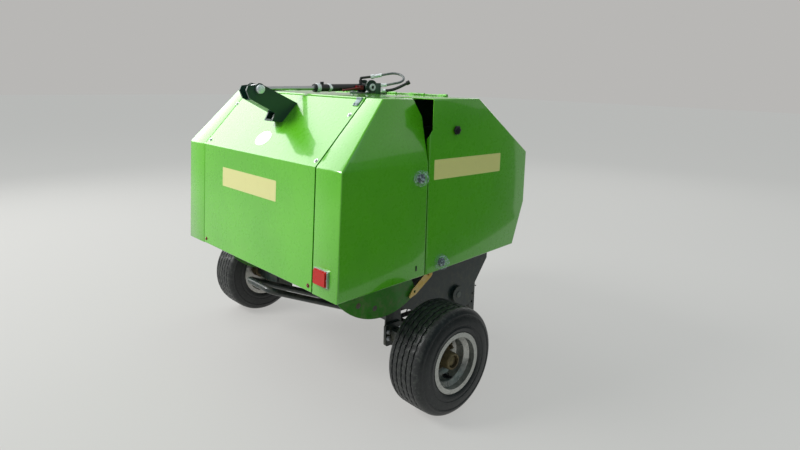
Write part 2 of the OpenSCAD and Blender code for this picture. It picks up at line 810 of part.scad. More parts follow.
module stripper_bands() {
    low = reel[1] - band_r;
    high = reel[1] + band_r;
    rail = 30;
    floor_end = roller_at(floor_rollers_deg[1]) + (roller_r + 12) * [1, 0.4];
    color([0.13, 0.15, 0.14]) from_axle() {
        for (i = [0 : tine_count - 2]) {
            x = tine_x(i) + tine_step / 2;
            across(x - band_w / 2, x + band_w / 2) band_shape();
        }
        // Feed floor behind the upper ends
        across(-in_x, in_x) polygon([[band_rear_y, high], [band_rear_y, high - 4],
            floor_end - [0, 4], floor_end]);
        // Rail at the lower ends
        block([-in_x, band_rear_y - rail, low], [in_x, band_rear_y, low + rail]);
        both_sides() block([in_x - frame_t, band_rear_y - rail, low], [in_x, band_rear_y, reel[1] - 26]);
    }
}

module crop_guard() {
    // Bend and rear end of the wires from the cross bar: along, up
    bend = guard_bar + [-100, -14];
    end = bend + [-140, 6];
    color([0.13, 0.15, 0.14]) from_axle() {
        bar_x(16, -in_x, in_x, guard_bar);
        for (i = [0 : tine_count - 1]) {
            x = tine_x(i);
            rod_between([x, guard_bar[0], guard_bar[1]], [x, bend[0], bend[1]], 4);
            rod_between([x, bend[0], bend[1]], [x, end[0], end[1]], 4);
            translate([x, bend[0], bend[1]]) sphere(r = 5);
        }
    }
}

module gearbox() {
    front = gearbox[0] + case_size[2];
    flange = 22;
    color([0.22, 0.24, 0.24]) from_axle() {
        difference() {
            union() {
                // Case with round corners and a rib around its middle
                translate([0, gearbox[0] - case_size[1], gearbox[1]]) rotate([-90, 0, 0])
                    linear_extrude(case_size[1] + case_size[2])
                    round_rect(2 * case_size[0], 2 * case_size[3], 18);
                translate([0, gearbox[0] - 5, gearbox[1]]) rotate([-90, 0, 0]) linear_extrude(10)
                    round_rect(2 * case_size[0] + 10, 2 * case_size[3], 18);
                bar_x(50, -case_size[0] - flange, case_size[0] + flange, cross_shaft);
                bar_y(56, front, front + flange, 0, gearbox[1]);
                // Filler plug
                translate([0, gearbox[0], gearbox[1] + case_size[3] - 1]) cylinder(h = 14, r = 11);
            }
            bar_y(pto_back_r + run_gap, front + 1, front + flange + 1, 0, gearbox[1]);
        }
    }
}

module drive_tube() {
    color([0.10, 0.15, 0.14]) from_axle() {
        bar_x(28, -in_x, -case_size[0] - 22, cross_shaft);
        bar_x(cross_shaft_r, -chain_x[0] - chain_size[0] - 6, -in_x, cross_shaft);
    }
}

module drive_guard() {
    y0 = gearbox[0] + case_size[2] + 22;
    color([0.85, 0.65, 0.05]) from_axle() translate([0, y0, gearbox[1]]) rotate([-90, 0, 0])
        rotate_extrude() polygon([[50, 0], [56, 0], [60, 12], [82, 84], [82, 92], [79, 92],
            [78, 84], [57, 13], [53, 4], [50, 4]]);
}

module drive_shaft() {
    color([0.60, 0.60, 0.58]) from_axle() {
        bar_y(pto_back_r, gearbox[0] + case_size[2] + 2, pto_end_y - pto_l, 0, gearbox[1]);
        bar_y(pto_r, pto_end_y - pto_l, pto_end_y, 0, gearbox[1]);
    }
}

// Outline around two circles
module loop_shape(a, ra, b, rb) {
    u = unit(b - a);
    n = [-u[1], u[0]];
    s = (ra - rb) / norm(b - a);
    c = sqrt(1 - s * s);
    translate(a) circle(r = ra);
    translate(b) circle(r = rb);
    polygon([a + ra * (s * u + c * n), b + rb * (s * u + c * n), b + rb * (s * u - c * n),
        a + ra * (s * u - c * n)]);
}

module chain_loop(a, ra, b, rb) {
    difference() {
        loop_shape(a, ra + chain_size[1], b, rb + chain_size[1]);
        loop_shape(a, ra, b, rb);
    }
}

// Toothed disc with its hub bored for the shaft
module sprocket(r, bore) {
    teeth = round(2 * PI * r / 16);
    difference() {
        union() {
            circle(r = r);
            for (k = [0 : teeth - 1]) rotate(k * 360 / teeth)
                polygon([[r - 2, -4.5], [r + tooth_h, -1.5], [r + tooth_h, 1.5], [r - 2, 4.5]]);
        }
        circle(r = bore);
    }
}

module drive_chains() {
    w = chain_size[0];
    color([0.30, 0.27, 0.24]) from_axle() mirror([1, 0, 0]) {
        across(chain_x[0], chain_x[0] + w) {
            chain_loop(cross_shaft, sprocket_r[0], roller_at(0), sprocket_r[1]);
            translate(cross_shaft) sprocket(sprocket_r[0], cross_shaft_r);
            translate(roller_at(0)) sprocket(sprocket_r[1], journal_r);
        }
        across(chain_x[1], chain_x[1] + w) {
            chain_loop(roller_at(0), sprocket_r[2], reel, sprocket_r[3] + run_gap);
            translate(roller_at(0)) sprocket(sprocket_r[2], journal_r);
        }
    }
}

module parking_legs() {
    sleeve = leg_w / 2 + 6;
    hole_step = 44;
    color([0.10, 0.15, 0.14]) from_axle() both_sides() translate([leg_at[0], leg_at[1], 0]) {
        difference() {
            union() {
                block([-sleeve, beam_y[1] - leg_at[1], low_beam_z[0] - 30],
                    [sleeve, sleeve, low_beam_z[1] + 30]);
                block([-leg_w / 2, -leg_w / 2, 6], [leg_w / 2, leg_w / 2, leg_at[1] - 46]);
            }
            // Row of pin holes, and the hollow upper end
            for (z = [90 : hole_step : low_beam_z[0] - 60]) bar_x(6.5, -60, 60, [0, z]);
            block([-leg_w / 2 + 4, -leg_w / 2 + 4, low_beam_z[1] + 40],
                [leg_w / 2 - 4, leg_w / 2 - 4, leg_at[1]]);
        }
        // Foot plate with turned-up ends
        across(-45, 45) bent([[66, 16], [52, 0], [-52, 0], [-66, 16]], 6, 12);
        // Locking pin through the sleeve
        bar_x(6, -sleeve - 14, sleeve + 14, [0, (low_beam_z[0] + low_beam_z[1]) / 2]);
    }
}

// Upper pivot, hole and nose of the latch hooks: along, up
hook_points = [[190, 428], [104, 368], [80, 351]];

module latch_hooks() {
    plate_x = wall_x + wall_t + 6;
    plate_t = 6;
    color([0.72, 0.58, 0.22]) from_axle() both_sides() {
        bar_x(9, frame_x, plate_x + plate_t + 5, hook_points[0]);
        across(plate_x, plate_x + plate_t) difference() {
            union() {
                loop_shape(hook_points[0], 19, hook_points[1], 16);
                loop_shape(hook_points[1], 16, hook_points[2], 7);
            }
            translate(hook_points[0]) circle(r = 9);
            translate(hook_points[1]) circle(r = 6);
            // Mouth of the hook
            translate(hook_points[2] + [16, -15]) circle(r = 11);
        }
    }
}

// Round grip on a post's end
module knob(at, r) {
    turned_x(cover_x, at) polygon([[0, 0], [0.6 * r, 0], [0.6 * r, 3], [r, 5], [r, knob_l - 3],
        [0.85 * r, knob_l], [0, knob_l]]);
}

module front_knobs() {
    color([0.05, 0.05, 0.06]) from_axle() both_sides() {
        knob(front_posts[0], knob_r[0]);
        knob(front_posts[1], knob_r[1]);
    }
}

module gate_knobs() {
    color([0.05, 0.05, 0.06]) from_axle() both_sides() knob(rear_posts[0], knob_r[0]);
}

module gate_panel() {
    color([0.25, 0.62, 0.13]) from_axle() {
        across(-panel_x, panel_x) bent([rear_low + [lip, 0], rear_low, rear_mid, top_rear,
            top_rear - [0, lip]], skin, fold_r - 1);
        // Channels between the walls stiffen the sheet
        across(-wall_x, wall_x) {
            for (z = channel_z) channel_on(gate_rear(skin)[0], gate_rear(skin)[1],
                (z - rear_low[1]) / (rear_mid[1] - rear_low[1]), channel[0], channel[1]);
            channel_on(gate_rear(skin)[1], gate_rear(skin)[2], 0.62, channel[0], channel[1]);
        }
    }
}

module gate_cover_right() {
    color([0.25, 0.62, 0.13]) from_axle() gate_cover();
}

module gate_cover_left() {
    color([0.25, 0.62, 0.13]) from_axle() mirror([1, 0, 0]) gate_cover();
}

module gate_wall_right() {
    color([0.22, 0.52, 0.13]) from_axle() gate_wall();
}

module gate_wall_left() {
    color([0.22, 0.52, 0.13]) from_axle() mirror([1, 0, 0]) gate_wall();
}

module gate_rollers() {
    color([0.32, 0.33, 0.33]) from_axle() for (a = gate_angles)
        roller(wall_x - roller_gap, wall_x + wall_t + (behind_cover(a) ? bearing_size[1] + 2 : 0),
            roller_at(a));
}

// Arm on the gate: where its cheeks meet the slant, from the lower bend
arm_foot = [172, 276];
// Other corners of the cheeks, from the pin: along, up
arm_outline = [[71, -95], [-43, -37], [-57, -5], [-49, 12], [9, 20]];

module gate_arm() {
    slope = unit(top_rear - rear_mid);
    foot = rear_mid + arm_foot[0] * slope;
    head = rear_mid + arm_foot[1] * slope;
    notch = foot + [-50, 4];
    color([0.10, 0.15, 0.14]) from_axle() {
        both_sides() {
            across(cheek_in_x, cheek_in_x + cheek_t) union() {
                polygon(concat([foot, notch], [for (p = arm_outline) arm_pin + p], [head]));
                translate(arm_pin) circle(r = eye_r + 3);
            }
            // Washer and head of the pin
            bar_x(eye_r + 5, cheek_in_x + cheek_t, cheek_in_x + cheek_t + 3, arm_pin);
            bar_x(cyl_pin_r + 5, cheek_in_x + cheek_t + 3, cheek_in_x + cheek_t + 12, arm_pin);
        }
        // Webs between the cheeks
        web = [arm_pin + arm_outline[0], arm_pin + arm_outline[1]];
        across(-cheek_in_x, cheek_in_x) {
            polygon([foot, notch, notch + [2, 8], foot + [8, 9]]);
            polygon([web[0], web[1] + [12, -6], web[1] + [15, 0], web[0] + [4, 6]]);
        }
    }
}

module tail_lamp() {
    rise = rear_mid - rear_low;
    y = rear_low[0] + (lamp_at[1] - rear_low[1]) * rise[0] / rise[1];
    depth = 15;
    color([0.75, 0.05, 0.03]) from_axle() translate([lamp_at[0], y, lamp_at[1]])
        rotate([90 - atan2(rise[0], rise[1]), 0, 0]) {
            linear_extrude(depth - 4) round_rect(lamp_size[0], lamp_size[1], 6);
            linear_extrude(depth) round_rect(lamp_size[0] - 6, lamp_size[1] - 6, 5);
        }
}

// Direction and length of the closed cylinder, from the lug to the arm
along = unit(arm_pin - lug_pin);
cyl_l = norm(arm_pin - lug_pin);

module on_cylinder() {
    translate([0, lug_pin[0], lug_pin[1]]) rotate([atan2(along[1], along[0]), 0, 0]) children();
}

// The closed cylinder lies along -Y here, so up is towards -Z
module cylinder_barrel() {
    gland_l = 30;
    cap_l = 18;
    port_y = [lug_r + 8, barrel_l - gland_l - 14];
    color([0.06, 0.07, 0.08]) from_axle() on_cylinder() {
        difference() {
            union() {
                bar_x(eye_r, -cheek_in_x + roller_gap, cheek_in_x - roller_gap, [0, 0]);
                bar_y(barrel_r, eye_r - 4, barrel_l, 0, 0);
                bar_y(barrel_r + 2, eye_r + 2, eye_r + 2 + cap_l, 0, 0);
                bar_y(barrel_r + 2, barrel_l - gland_l, barrel_l - 6, 0, 0);
                // Ports on the upper side
                for (y = port_y) translate([0, y, -barrel_r - 10]) cylinder(h = 14, r = 8);
            }
            bar_x(cyl_pin_r + run_gap, -cheek_in_x - 1, cheek_in_x + 1, [0, 0]);
            bar_y(rod_r + run_gap, barrel_l - 210, barrel_l + 1, 0, 0);
        }
    }
}

// Shut-off valve beside the barrel, with its lever
module cylinder_valve() {
    lever = [46, 160];
    color([0.45, 0.05, 0.06]) from_axle() on_cylinder() {
        block([barrel_r, lever[0] + 4, -9], [barrel_r + 14, lever[0] + 40, 9]);
        bar_x(7, barrel_r + 14, barrel_r + 20, [lever[0] + 24, 0]);
        rod_between([barrel_r + 18, lever[0] + 24, 0], [barrel_r + 10, lever[1], 11], 4);
        translate([barrel_r + 10, lever[1], 11]) sphere(r = 6);
    }
}

module cylinder_rod() {
    color([0.80, 0.80, 0.80]) from_axle() on_cylinder() {
        difference() {
            union() {
                bar_y(rod_r, barrel_l - 50, cyl_l - 10, 0, 0);
                bar_y(rod_r + 5, cyl_l - eye_r - 14, cyl_l - eye_r + 6, 0, 0);
                bar_x(eye_r, -18, 18, [cyl_l, 0]);
            }
            bar_x(cyl_pin_r, -30, 30, [cyl_l, 0]);
        }
    }
}

// Half length of the kicker's hubs
kick_hub_l = kick_r + 2;

module kicker() {
    v = kick_tip - kick_pivot;
    l = norm(v);
    color([0.10, 0.16, 0.15]) from_axle() translate([0, kick_pivot[0], kick_pivot[1]])
        rotate([atan2(v[1], v[0]), 0, 0]) {
            both_sides() {
                difference() {
                    union() {
                        bar_y(kick_r, 0, l - kick_bend, kick_x, 0);
                        bar_x(kick_r + 6, kick_x - kick_hub_l, kick_x + kick_hub_l, [0, 0]);
                    }
                    bar_x(cyl_pin_r + run_gap, kick_x - 30, kick_x + 30, [0, 0]);
                }
                translate([kick_x - kick_bend, l - kick_bend, 0])
                    rotate_extrude(angle = 90) translate([kick_bend, 0]) circle(r = kick_r);
            }
            bar_x(kick_r, -kick_x + kick_bend, kick_x - kick_bend, [l, 0]);
        }
}

// A tine of spring wire: straight from its coil, then bent back at the tip
module tine() {
    bend = tip_r - tine_hook[0];
    rod_between([0, 0, bar_ring_r], [0, 0, bend], tine_r);
    rod_between([0, 0, bend - 1],
        [0, tine_hook[1], sqrt(tip_r * tip_r - tine_hook[1] * tine_hook[1])], tine_r);
}

module pickup_reel() {
    reel_x = in_x - 8;
    plate = [bar_ring_r + 14, 6];
    color([0.35, 0.36, 0.34]) from_axle() translate([0, reel[0], reel[1]]) {
        bar_x(24, -reel_x, reel_x, [0, 0]);
        bar_x(reel_shaft_r, -frame_x - 18, frame_x + 18, [0, 0]);
        // Longer shaft and sprocket for the chain on the left
        bar_x(reel_shaft_r, -chain_x[1] - chain_size[0] - 6, -frame_x - 18, [0, 0]);
        bar_x(sprocket_r[3], -chain_x[1] - chain_size[0] + 1, -chain_x[1] - 1, [0, 0]);
        for (x = [-reel_x, -plate[1] / 2, reel_x - plate[1]]) across(x, x + plate[1])
            difference() {
                circle(r = plate[0]);
                for (b = [0 : bar_count - 1]) rotate((b + 0.5) * 360 / bar_count)
                    translate([(bar_ring_r + 24) / 2 + 3, 0]) circle(r = 22);
            }
        for (b = [0 : bar_count - 1]) rotate([b * 360 / bar_count, 0, 0]) {
            bar_x(10, -reel_x, reel_x, [0, bar_ring_r]);
            for (i = [0 : tine_count - 1]) {
                turned_x(tine_x(i) - 9, [0, bar_ring_r]) polygon([[0, 0], [coil_r - 2, 0],
                    [coil_r - 2, 6], [coil_r, 6], [coil_r, 12], [coil_r - 2, 12],
                    [coil_r - 2, 18], [0, 18]]);
                translate([tine_x(i), 0, 0]) tine();
            }
        }
    }
}

// Half section of the tyre, radius and place across
module tyre_shape() {
    h = tyre_w / 2;
    fit = 0.3;
    shoulder = tyre_r - flange_r;
    difference() {
        polygon([[seat_r + fit, -flange_x + rim_t + fit], [flange_r + 0.5, -flange_x + rim_t + fit],
            [flange_r + 5, -h + 2], [flange_r + 0.33 * shoulder, -h],
            [tyre_r - 40, -h + 1], [tyre_r - 18, -h + 8], [tyre_r - 7, -h + 18],
            [tyre_r - 1, -h + 34], [tyre_r, 0], [tyre_r - 1, h - 34], [tyre_r - 7, h - 18],
            [tyre_r - 18, h - 8], [tyre_r - 40, h - 1], [flange_r + 0.33 * shoulder, h],
            [flange_r + 5, h - 2], [flange_r + 0.5, flange_x - rim_t - fit],
            [seat_r + fit, flange_x - rim_t - fit]]);
        for (i = [-2 : 2])
            translate([tyre_r - groove[0] - (abs(i) > 1 ? 1 : 0), i * groove_step - groove[1]])
                square([20, 2 * groove[1]]);
    }
}

module tyre() {
    rotate([0, 90, 0]) rotate_extrude($fn = 96) tyre_shape();
}

module rim() {
    f = flange_x;
    well = seat_r - 15;
    difference() {
        rotate([0, 90, 0]) rotate_extrude($fn = 72) polygon([[flange_r, -f],
            [flange_r, -f + rim_t], [seat_r, -f + rim_t], [seat_r, -f + 26], [well, -f + 42],
            [well, f - 42], [seat_r, f - 26], [seat_r, f - rim_t], [flange_r, f - rim_t],
            [flange_r, f], [seat_r - rim_t, f], [seat_r - rim_t, f - 24], [well - rim_t, f - 39],
            [well - rim_t, 6], [well - 16, disc_x], [hub_r + 2, disc_x], [hub_r + 2, disc_x - 6],
            [well - 13, disc_x - 6], [well - rim_t, -2], [well - rim_t, -f + 39],
            [seat_r - rim_t, -f + 24], [seat_r - rim_t, -f]]);
        for (k = [0 : disc_holes - 1]) rotate([k * 360 / disc_holes, 0, 0])
            bar_x(6.5, disc_x - 10, disc_x + 10, [0, disc_hole_ring]);
    }
}

module hub() {
    rotate([0, 90, 0]) rotate_extrude($fn = 48) polygon([[axle_r + run_gap, -48],
        [hub_r, -48], [hub_r, disc_x], [hub_r + 16, disc_x], [hub_r + 16, disc_x + 7],
        [hub_r, disc_x + 9], [hub_r - 4, hub_end_x - 4], [hub_r - 6, hub_end_x],
        [hub_r - 12, hub_end_x], [hub_r - 12, hub_end_x - 18], [axle_r + run_gap, hub_end_x - 18]]);
}

module tyre_right() {
    color([0.04, 0.04, 0.04]) from_axle() translate([wheel_x, 0, tyre_r]) tyre();
}

module rim_right() {
    color([0.62, 0.63, 0.62]) from_axle() translate([wheel_x, 0, tyre_r]) rim();
}

module hub_right() {
    color([0.33, 0.24, 0.15]) from_axle() translate([wheel_x, 0, tyre_r]) hub();
}

module tyre_left() {
    color([0.04, 0.04, 0.04]) from_axle() mirror([1, 0, 0]) translate([wheel_x, 0, tyre_r]) tyre();
}

module rim_left() {
    color([0.62, 0.63, 0.62]) from_axle() mirror([1, 0, 0]) translate([wheel_x, 0, tyre_r]) rim();
}

module hub_left() {
    color([0.33, 0.24, 0.15]) from_axle() mirror([1, 0, 0]) translate([wheel_x, 0, tyre_r]) hub();
}

side_frame_right();
side_frame_left();
under_beam();
front_frame();
hitch_pins();
hood();
wrapper();
front_cover_right();
front_cover_left();
twine_box();
twine_lid();
cylinder_lug();
front_rollers();
stripper_bands();
crop_guard();
gearbox();
drive_tube();
drive_guard();
drive_shaft();
drive_chains();
parking_legs();
latch_hooks();
front_knobs();
gate_panel();
gate_cover_right();
gate_cover_left();
gate_wall_right();
gate_wall_left();
gate_rollers();
gate_arm();
gate_knobs();
tail_lamp();
cylinder_barrel();
cylinder_valve();
cylinder_rod();
kicker();
pickup_reel();
tyre_right();
rim_right();
hub_right();
tyre_left();
rim_left();
hub_left();
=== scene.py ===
# %% [markdown]
# # A small round baler
# The imported model is loaded as a fixed frame: every CAD solid, in metres, with its place baked into its
# mesh.
# This notebook dresses it. Sheet covers get real bends, paint and rubber get their grain, and the
# small things that a maker fits at the end, such as bolts, pins, hoses and stickers, are added.
# %% Load the frame
import math
import bmesh
import bpy
from mathutils import Matrix, Vector, noise


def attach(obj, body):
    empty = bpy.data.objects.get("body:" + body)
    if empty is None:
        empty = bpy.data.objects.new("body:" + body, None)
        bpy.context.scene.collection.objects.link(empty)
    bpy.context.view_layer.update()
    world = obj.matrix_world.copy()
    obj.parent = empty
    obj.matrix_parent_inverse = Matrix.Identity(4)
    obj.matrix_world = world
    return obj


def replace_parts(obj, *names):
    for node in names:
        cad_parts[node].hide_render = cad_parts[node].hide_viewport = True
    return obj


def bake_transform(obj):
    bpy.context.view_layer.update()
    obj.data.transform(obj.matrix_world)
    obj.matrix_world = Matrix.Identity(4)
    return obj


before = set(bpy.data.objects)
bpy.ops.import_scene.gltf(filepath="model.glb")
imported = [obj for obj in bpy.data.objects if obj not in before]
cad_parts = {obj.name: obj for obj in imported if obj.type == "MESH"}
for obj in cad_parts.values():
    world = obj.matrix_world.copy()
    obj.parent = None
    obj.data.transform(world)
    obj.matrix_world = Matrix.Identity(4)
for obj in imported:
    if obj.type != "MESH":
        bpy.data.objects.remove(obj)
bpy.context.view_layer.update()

# %% [markdown]
# Drawings of such machines count their lengths from the wheel axle, in millimetres, so the sizes
# below do too. One helper turns such a point into the frame's metres, which keeps every later cell
# readable beside a drawing. The named corners run round the side view, from the gate's lower edge
# over the hood to the nose, as (forward, up). The X values are half widths. The wheels stand on the
# ground, so the tyre's radius is also the axle's height.
# %% Points counted from the wheel axle
AXLE_Y, TYRE_R = -171.0, 208.5


def at(x, y, z):
    return Vector((x, y + AXLE_Y, z)) / 1000.0


HOOD_Z = 1175
REAR_LOW, REAR_MID, TOP_REAR = (-419, 481), (-403, 936), (-178, HOOD_Z)
TOP_FRONT, NOSE_TOP, NOSE_LOW, FRONT_LOW = (290, HOOD_Z), (629, 940), (629, 715), (563, 528)
COVER_X, LEAN_X, REAR_IN_X, FRONT_IN_X = 575, 520, 426, 409
SEAM_REAR, SEAM_FRONT, SEAM_LOW = 7.5, 12.5, 497
print("wheel axle at", at(0, 0, TYRE_R))

# %% [markdown]
# ## Camera and light
# The camera stands where a person's eye was: behind the machine on its right, a little above the
# covers, looking down by nine degrees. Three angles in radians turn it: yaw, pitch and a slight roll. The
# focal length and the centre are counted in pixels of the view, and a small shift of the lens brings
# the machine to its place in the picture without turning the camera.
# %% Camera
EYE, YAW, PITCH, ROLL = (2140.5, -1625.5, 1256.3), 0.8315, 0.1628, 0.023
VIEW_W, VIEW_H, FOCAL_PX, CENTRE_PX = 800, 450, 608.07, (387.8, 175.5)


def look(yaw, pitch, roll):
    """Rotation of a camera that looks forward along +Y when all three angles are zero."""
    forward = Vector((-math.sin(yaw) * math.cos(pitch), math.cos(yaw) * math.cos(pitch),
                      -math.sin(pitch)))
    side = forward.cross(Vector((0, 0, 1))).normalized()
    up = side.cross(forward)
    side_r = side * math.cos(roll) + up * math.sin(roll)
    up_r = up * math.cos(roll) - side * math.sin(roll)
    return Matrix((side_r, up_r, -forward)).transposed().to_4x4()


camera = bpy.data.objects.new("camera", bpy.data.cameras.new("camera"))
camera.matrix_world = Matrix.Translation(at(*EYE)) @ look(YAW, PITCH, ROLL)
camera.data.sensor_width = 36.0
camera.data.lens = FOCAL_PX / VIEW_W * camera.data.sensor_width
camera.data.shift_x = (VIEW_W / 2 - CENTRE_PX[0]) / VIEW_W
camera.data.shift_y = (CENTRE_PX[1] - VIEW_H / 2) / VIEW_W
bpy.context.scene.collection.objects.link(camera)
bpy.context.scene.camera = camera
print("lens", round(camera.data.lens, 2), "mm")

# %% [markdown]
# The floor is a wide pale sheet. It looks brighter to the camera and in reflections than it shines,
# so the background is pale and adds no light of its own. A black card beside the machine exists for
# reflections only: the shaded side would otherwise mirror the pale floor and lose its deep green.
# %% Floor and card
def seen_brighter(tree, plain, bright):
    """Shader that is plain where it lights things, and bright where it is seen or mirrored."""
    path = tree.nodes.new("ShaderNodeLightPath").outputs
    total = path["Is Camera Ray"]
    for name in ("Is Glossy Ray", "Is Transmission Ray"):
        more = tree.nodes.new("ShaderNodeMath")
        more.operation = "MAXIMUM"
        tree.links.new(total, more.inputs[0])
        tree.links.new(path[name], more.inputs[1])
        total = more.outputs[0]
    mix = tree.nodes.new("ShaderNodeMixShader")
    tree.links.new(total, mix.inputs[0])
    tree.links.new(plain, mix.inputs[1])
    tree.links.new(bright, mix.inputs[2])
    return mix.outputs[0]


def studio_sheet(name, colour, rough, shape):
    """A flat sheet of one colour that belongs to the studio, not to the machine."""
    bm = bmesh.new()
    bmesh.ops.create_grid(bm, x_segments=1, y_segments=1, size=1, matrix=shape)
    mesh = bpy.data.meshes.new(name)
    bm.to_mesh(mesh)
    bm.free()
    mat = bpy.data.materials.new(name)
    mat.use_nodes = True
    shader = mat.node_tree.nodes["Principled BSDF"]
    shader.inputs["Base Color"].default_value = colour
    shader.inputs["Roughness"].default_value = rough
    mesh.materials.append(mat)
    sheet = bpy.data.objects.new(name, mesh)
    bpy.context.scene.collection.objects.link(sheet)
    return sheet


FLOOR_HALF, GLOW_SHARE = 30, 0.6
floor = studio_sheet("floor", (0.42, 0.41, 0.39, 1), 0.85, Matrix.Scale(FLOOR_HALF, 4))
tree = floor.data.materials[0].node_tree
grey = tree.nodes["Principled BSDF"].outputs[0]
glow = tree.nodes.new("ShaderNodeEmission")
glow.inputs["Color"].default_value = (0.70, 0.69, 0.67, 1)
both = tree.nodes.new("ShaderNodeMixShader")
both.inputs[0].default_value = GLOW_SHARE
tree.links.new(grey, both.inputs[1])
tree.links.new(glow.outputs[0], both.inputs[2])
tree.links.new(seen_brighter(tree, grey, both.outputs[0]),
               tree.nodes["Material Output"].inputs["Surface"])
upright = Matrix.Translation((1.45, 0.9, 0.66)) @ Matrix.Rotation(math.radians(90), 4, "Y")
card_shape = upright @ Matrix.Diagonal((0.64, 1.6, 1, 1))
card = studio_sheet("dark card", (0.02, 0.02, 0.02, 1), 0.9, card_shape)
card.visible_camera = card.visible_diffuse = card.visible_shadow = False
print("floor", 2 * FLOOR_HALF, "m wide and one card")

# %% [markdown]
# Four soft disk lamps stand round the machine. The main one, behind it on the left, lights the gate's
# rear face and leaves the right side in gentle shade, as a hall's open door does. A second one hangs
# high on the left, where the sloping panel mirrors it: that is what turns fresh paint pale on one
# face only. The side lamp and the sky are a little cool, as shade outdoors is.
# %% Lamps and world
def soft_lamp(name, place, aim, size, watts, colour=(1, 1, 1)):
    lamp = bpy.data.lights.new(name, "AREA")
    lamp.shape = "DISK"
    lamp.size = size
    lamp.energy = watts
    lamp.color = colour
    obj = bpy.data.objects.new(name, lamp)
    obj.location = place
    obj.rotation_euler = (aim - obj.location).to_track_quat("-Z", "Y").to_euler()
    bpy.context.scene.collection.objects.link(obj)


machine_middle, slant_middle = at(0, 0, 600), at(0, -290, 1055)
soft_lamp("main", Vector((-2.6, -5.2, 5.0)), machine_middle, 2.6, 430)
soft_lamp("left", Vector((-3.8, -0.96, 3.4)), slant_middle, 4.8, 165)
soft_lamp("side", Vector((5.5, 1.0, 3.4)), machine_middle, 3.5, 17, (0.60, 0.96, 1.0))
soft_lamp("front", Vector((-1.5, 5.5, 3.5)), machine_middle, 3.5, 60)
world = bpy.data.worlds.new("soft sky")
world.use_nodes = True
sky = world.node_tree.nodes["Background"]
sky.inputs["Color"].default_value = (0.64, 0.88, 0.94, 1)
sky.inputs["Strength"].default_value = 0.42
haze = world.node_tree.nodes.new("ShaderNodeBackground")
haze.inputs["Color"].default_value = (0.80, 0.79, 0.77, 1)
haze.inputs["Strength"].default_value = 0.60
world.node_tree.links.new(seen_brighter(world.node_tree, sky.outputs[0], haze.outputs[0]),
                          world.node_tree.nodes["World Output"].inputs["Surface"])
bpy.context.scene.world = world
bpy.context.scene.view_settings.view_transform = "Standard"
print("four lamps and a sky")

# %% [markdown]
# ## Finishes
# A finish is a small graph: noises on the object's own coordinates drive colour, roughness and bump.
# One helper adds a node and wires its inputs, so that each finish below reads as a short recipe:
# noise makes a pattern, step sharpens it, scaled and maths weigh it, and blend mixes two colours by it.
# %% Helper for finishes
class Finish:
    def __init__(self, name):
        self.mat = bpy.data.materials.new(name)
        self.mat.use_nodes = True
        self.tree = self.mat.node_tree
        self.shader = self.tree.nodes["Principled BSDF"]
        self.coords = self.tree.nodes.new("ShaderNodeTexCoord").outputs["Object"]

    def put(self, socket, value):
        if isinstance(value, bpy.types.NodeSocket):
            self.tree.links.new(value, socket)
        else:
            socket.default_value = value

    def add(self, kind, inputs=None, **settings):
        node = self.tree.nodes.new("ShaderNode" + kind)
        for key, value in settings.items():
            setattr(node, key, value)
        for key, value in (inputs or {}).items():
            self.put(node.inputs[key], value)
        return node

    def noise(self, scale, detail=4.0, rough=0.6, vector=None):
        return self.add("TexNoise", {"Vector": vector or self.coords, "Scale": scale,
                                     "Detail": detail, "Roughness": rough}).outputs["Fac"]

    def step(self, value, low, high):
        return self.add("MapRange", {"Value": value, "From Min": low, "From Max": high},
                        interpolation_type="SMOOTHSTEP").outputs["Result"]

    def maths(self, operation, a, b=0.0):
        node = self.add("Math", operation=operation)
        self.put(node.inputs[0], a)
        self.put(node.inputs[1], b)
        return node.outputs[0]

    def scaled(self, value, factor, plus):
        return self.maths("ADD", self.maths("MULTIPLY", value, factor), plus)

    def blend(self, factor, a, b):
        node = self.add("Mix", data_type="RGBA")
        self.put(node.inputs["Factor"], factor)
        self.put(node.inputs[6], a)
        self.put(node.inputs[7], b)
        return node.outputs[2]

    def part(self, axis):
        return self.add("SeparateXYZ", {"Vector": self.coords}).outputs[axis]

    def stretched(self, x, y, z):
        return self.add("Mapping", {"Vector": self.coords, "Scale": (x, y, z)}).outputs["Vector"]

    def set(self, **sockets):
        for key, value in sockets.items():
            self.put(self.shader.inputs[key.replace("_", " ")], value)

    def bump(self, height, strength, distance=0.001, below=None):
        node = self.add("Bump", {"Height": height, "Strength": strength, "Distance": distance})
        if below is not None:
            self.put(node.inputs["Normal"], below)
        self.put(self.shader.inputs["Normal"], node.outputs["Normal"])
        return node.outputs["Normal"]


def rgb(r, g, b):
    """A colour as a screen shows it, 0 to 255, turned to the light values a shader needs."""
    def lin(c):
        c = c / 255
        return c / 12.92 if c <= 0.04045 else ((c + 0.055) / 1.055) ** 2.4
    return (lin(r), lin(g), lin(b), 1.0)


print("finish helper ready")

# %% [markdown]
# Paint on sheet steel is smooth but never flat: the sheet waves by fractions of a millimetre, which
# bends reflections, the gloss varies, field dust settles low down and in the corners, and stones chip
# it to primer. The same recipe serves the lime green covers, the duller green chamber plates and the
# near-black frame, with other numbers.
# %% Painted steel
DUST, PRIMER = rgb(150, 136, 108), rgb(92, 78, 62)


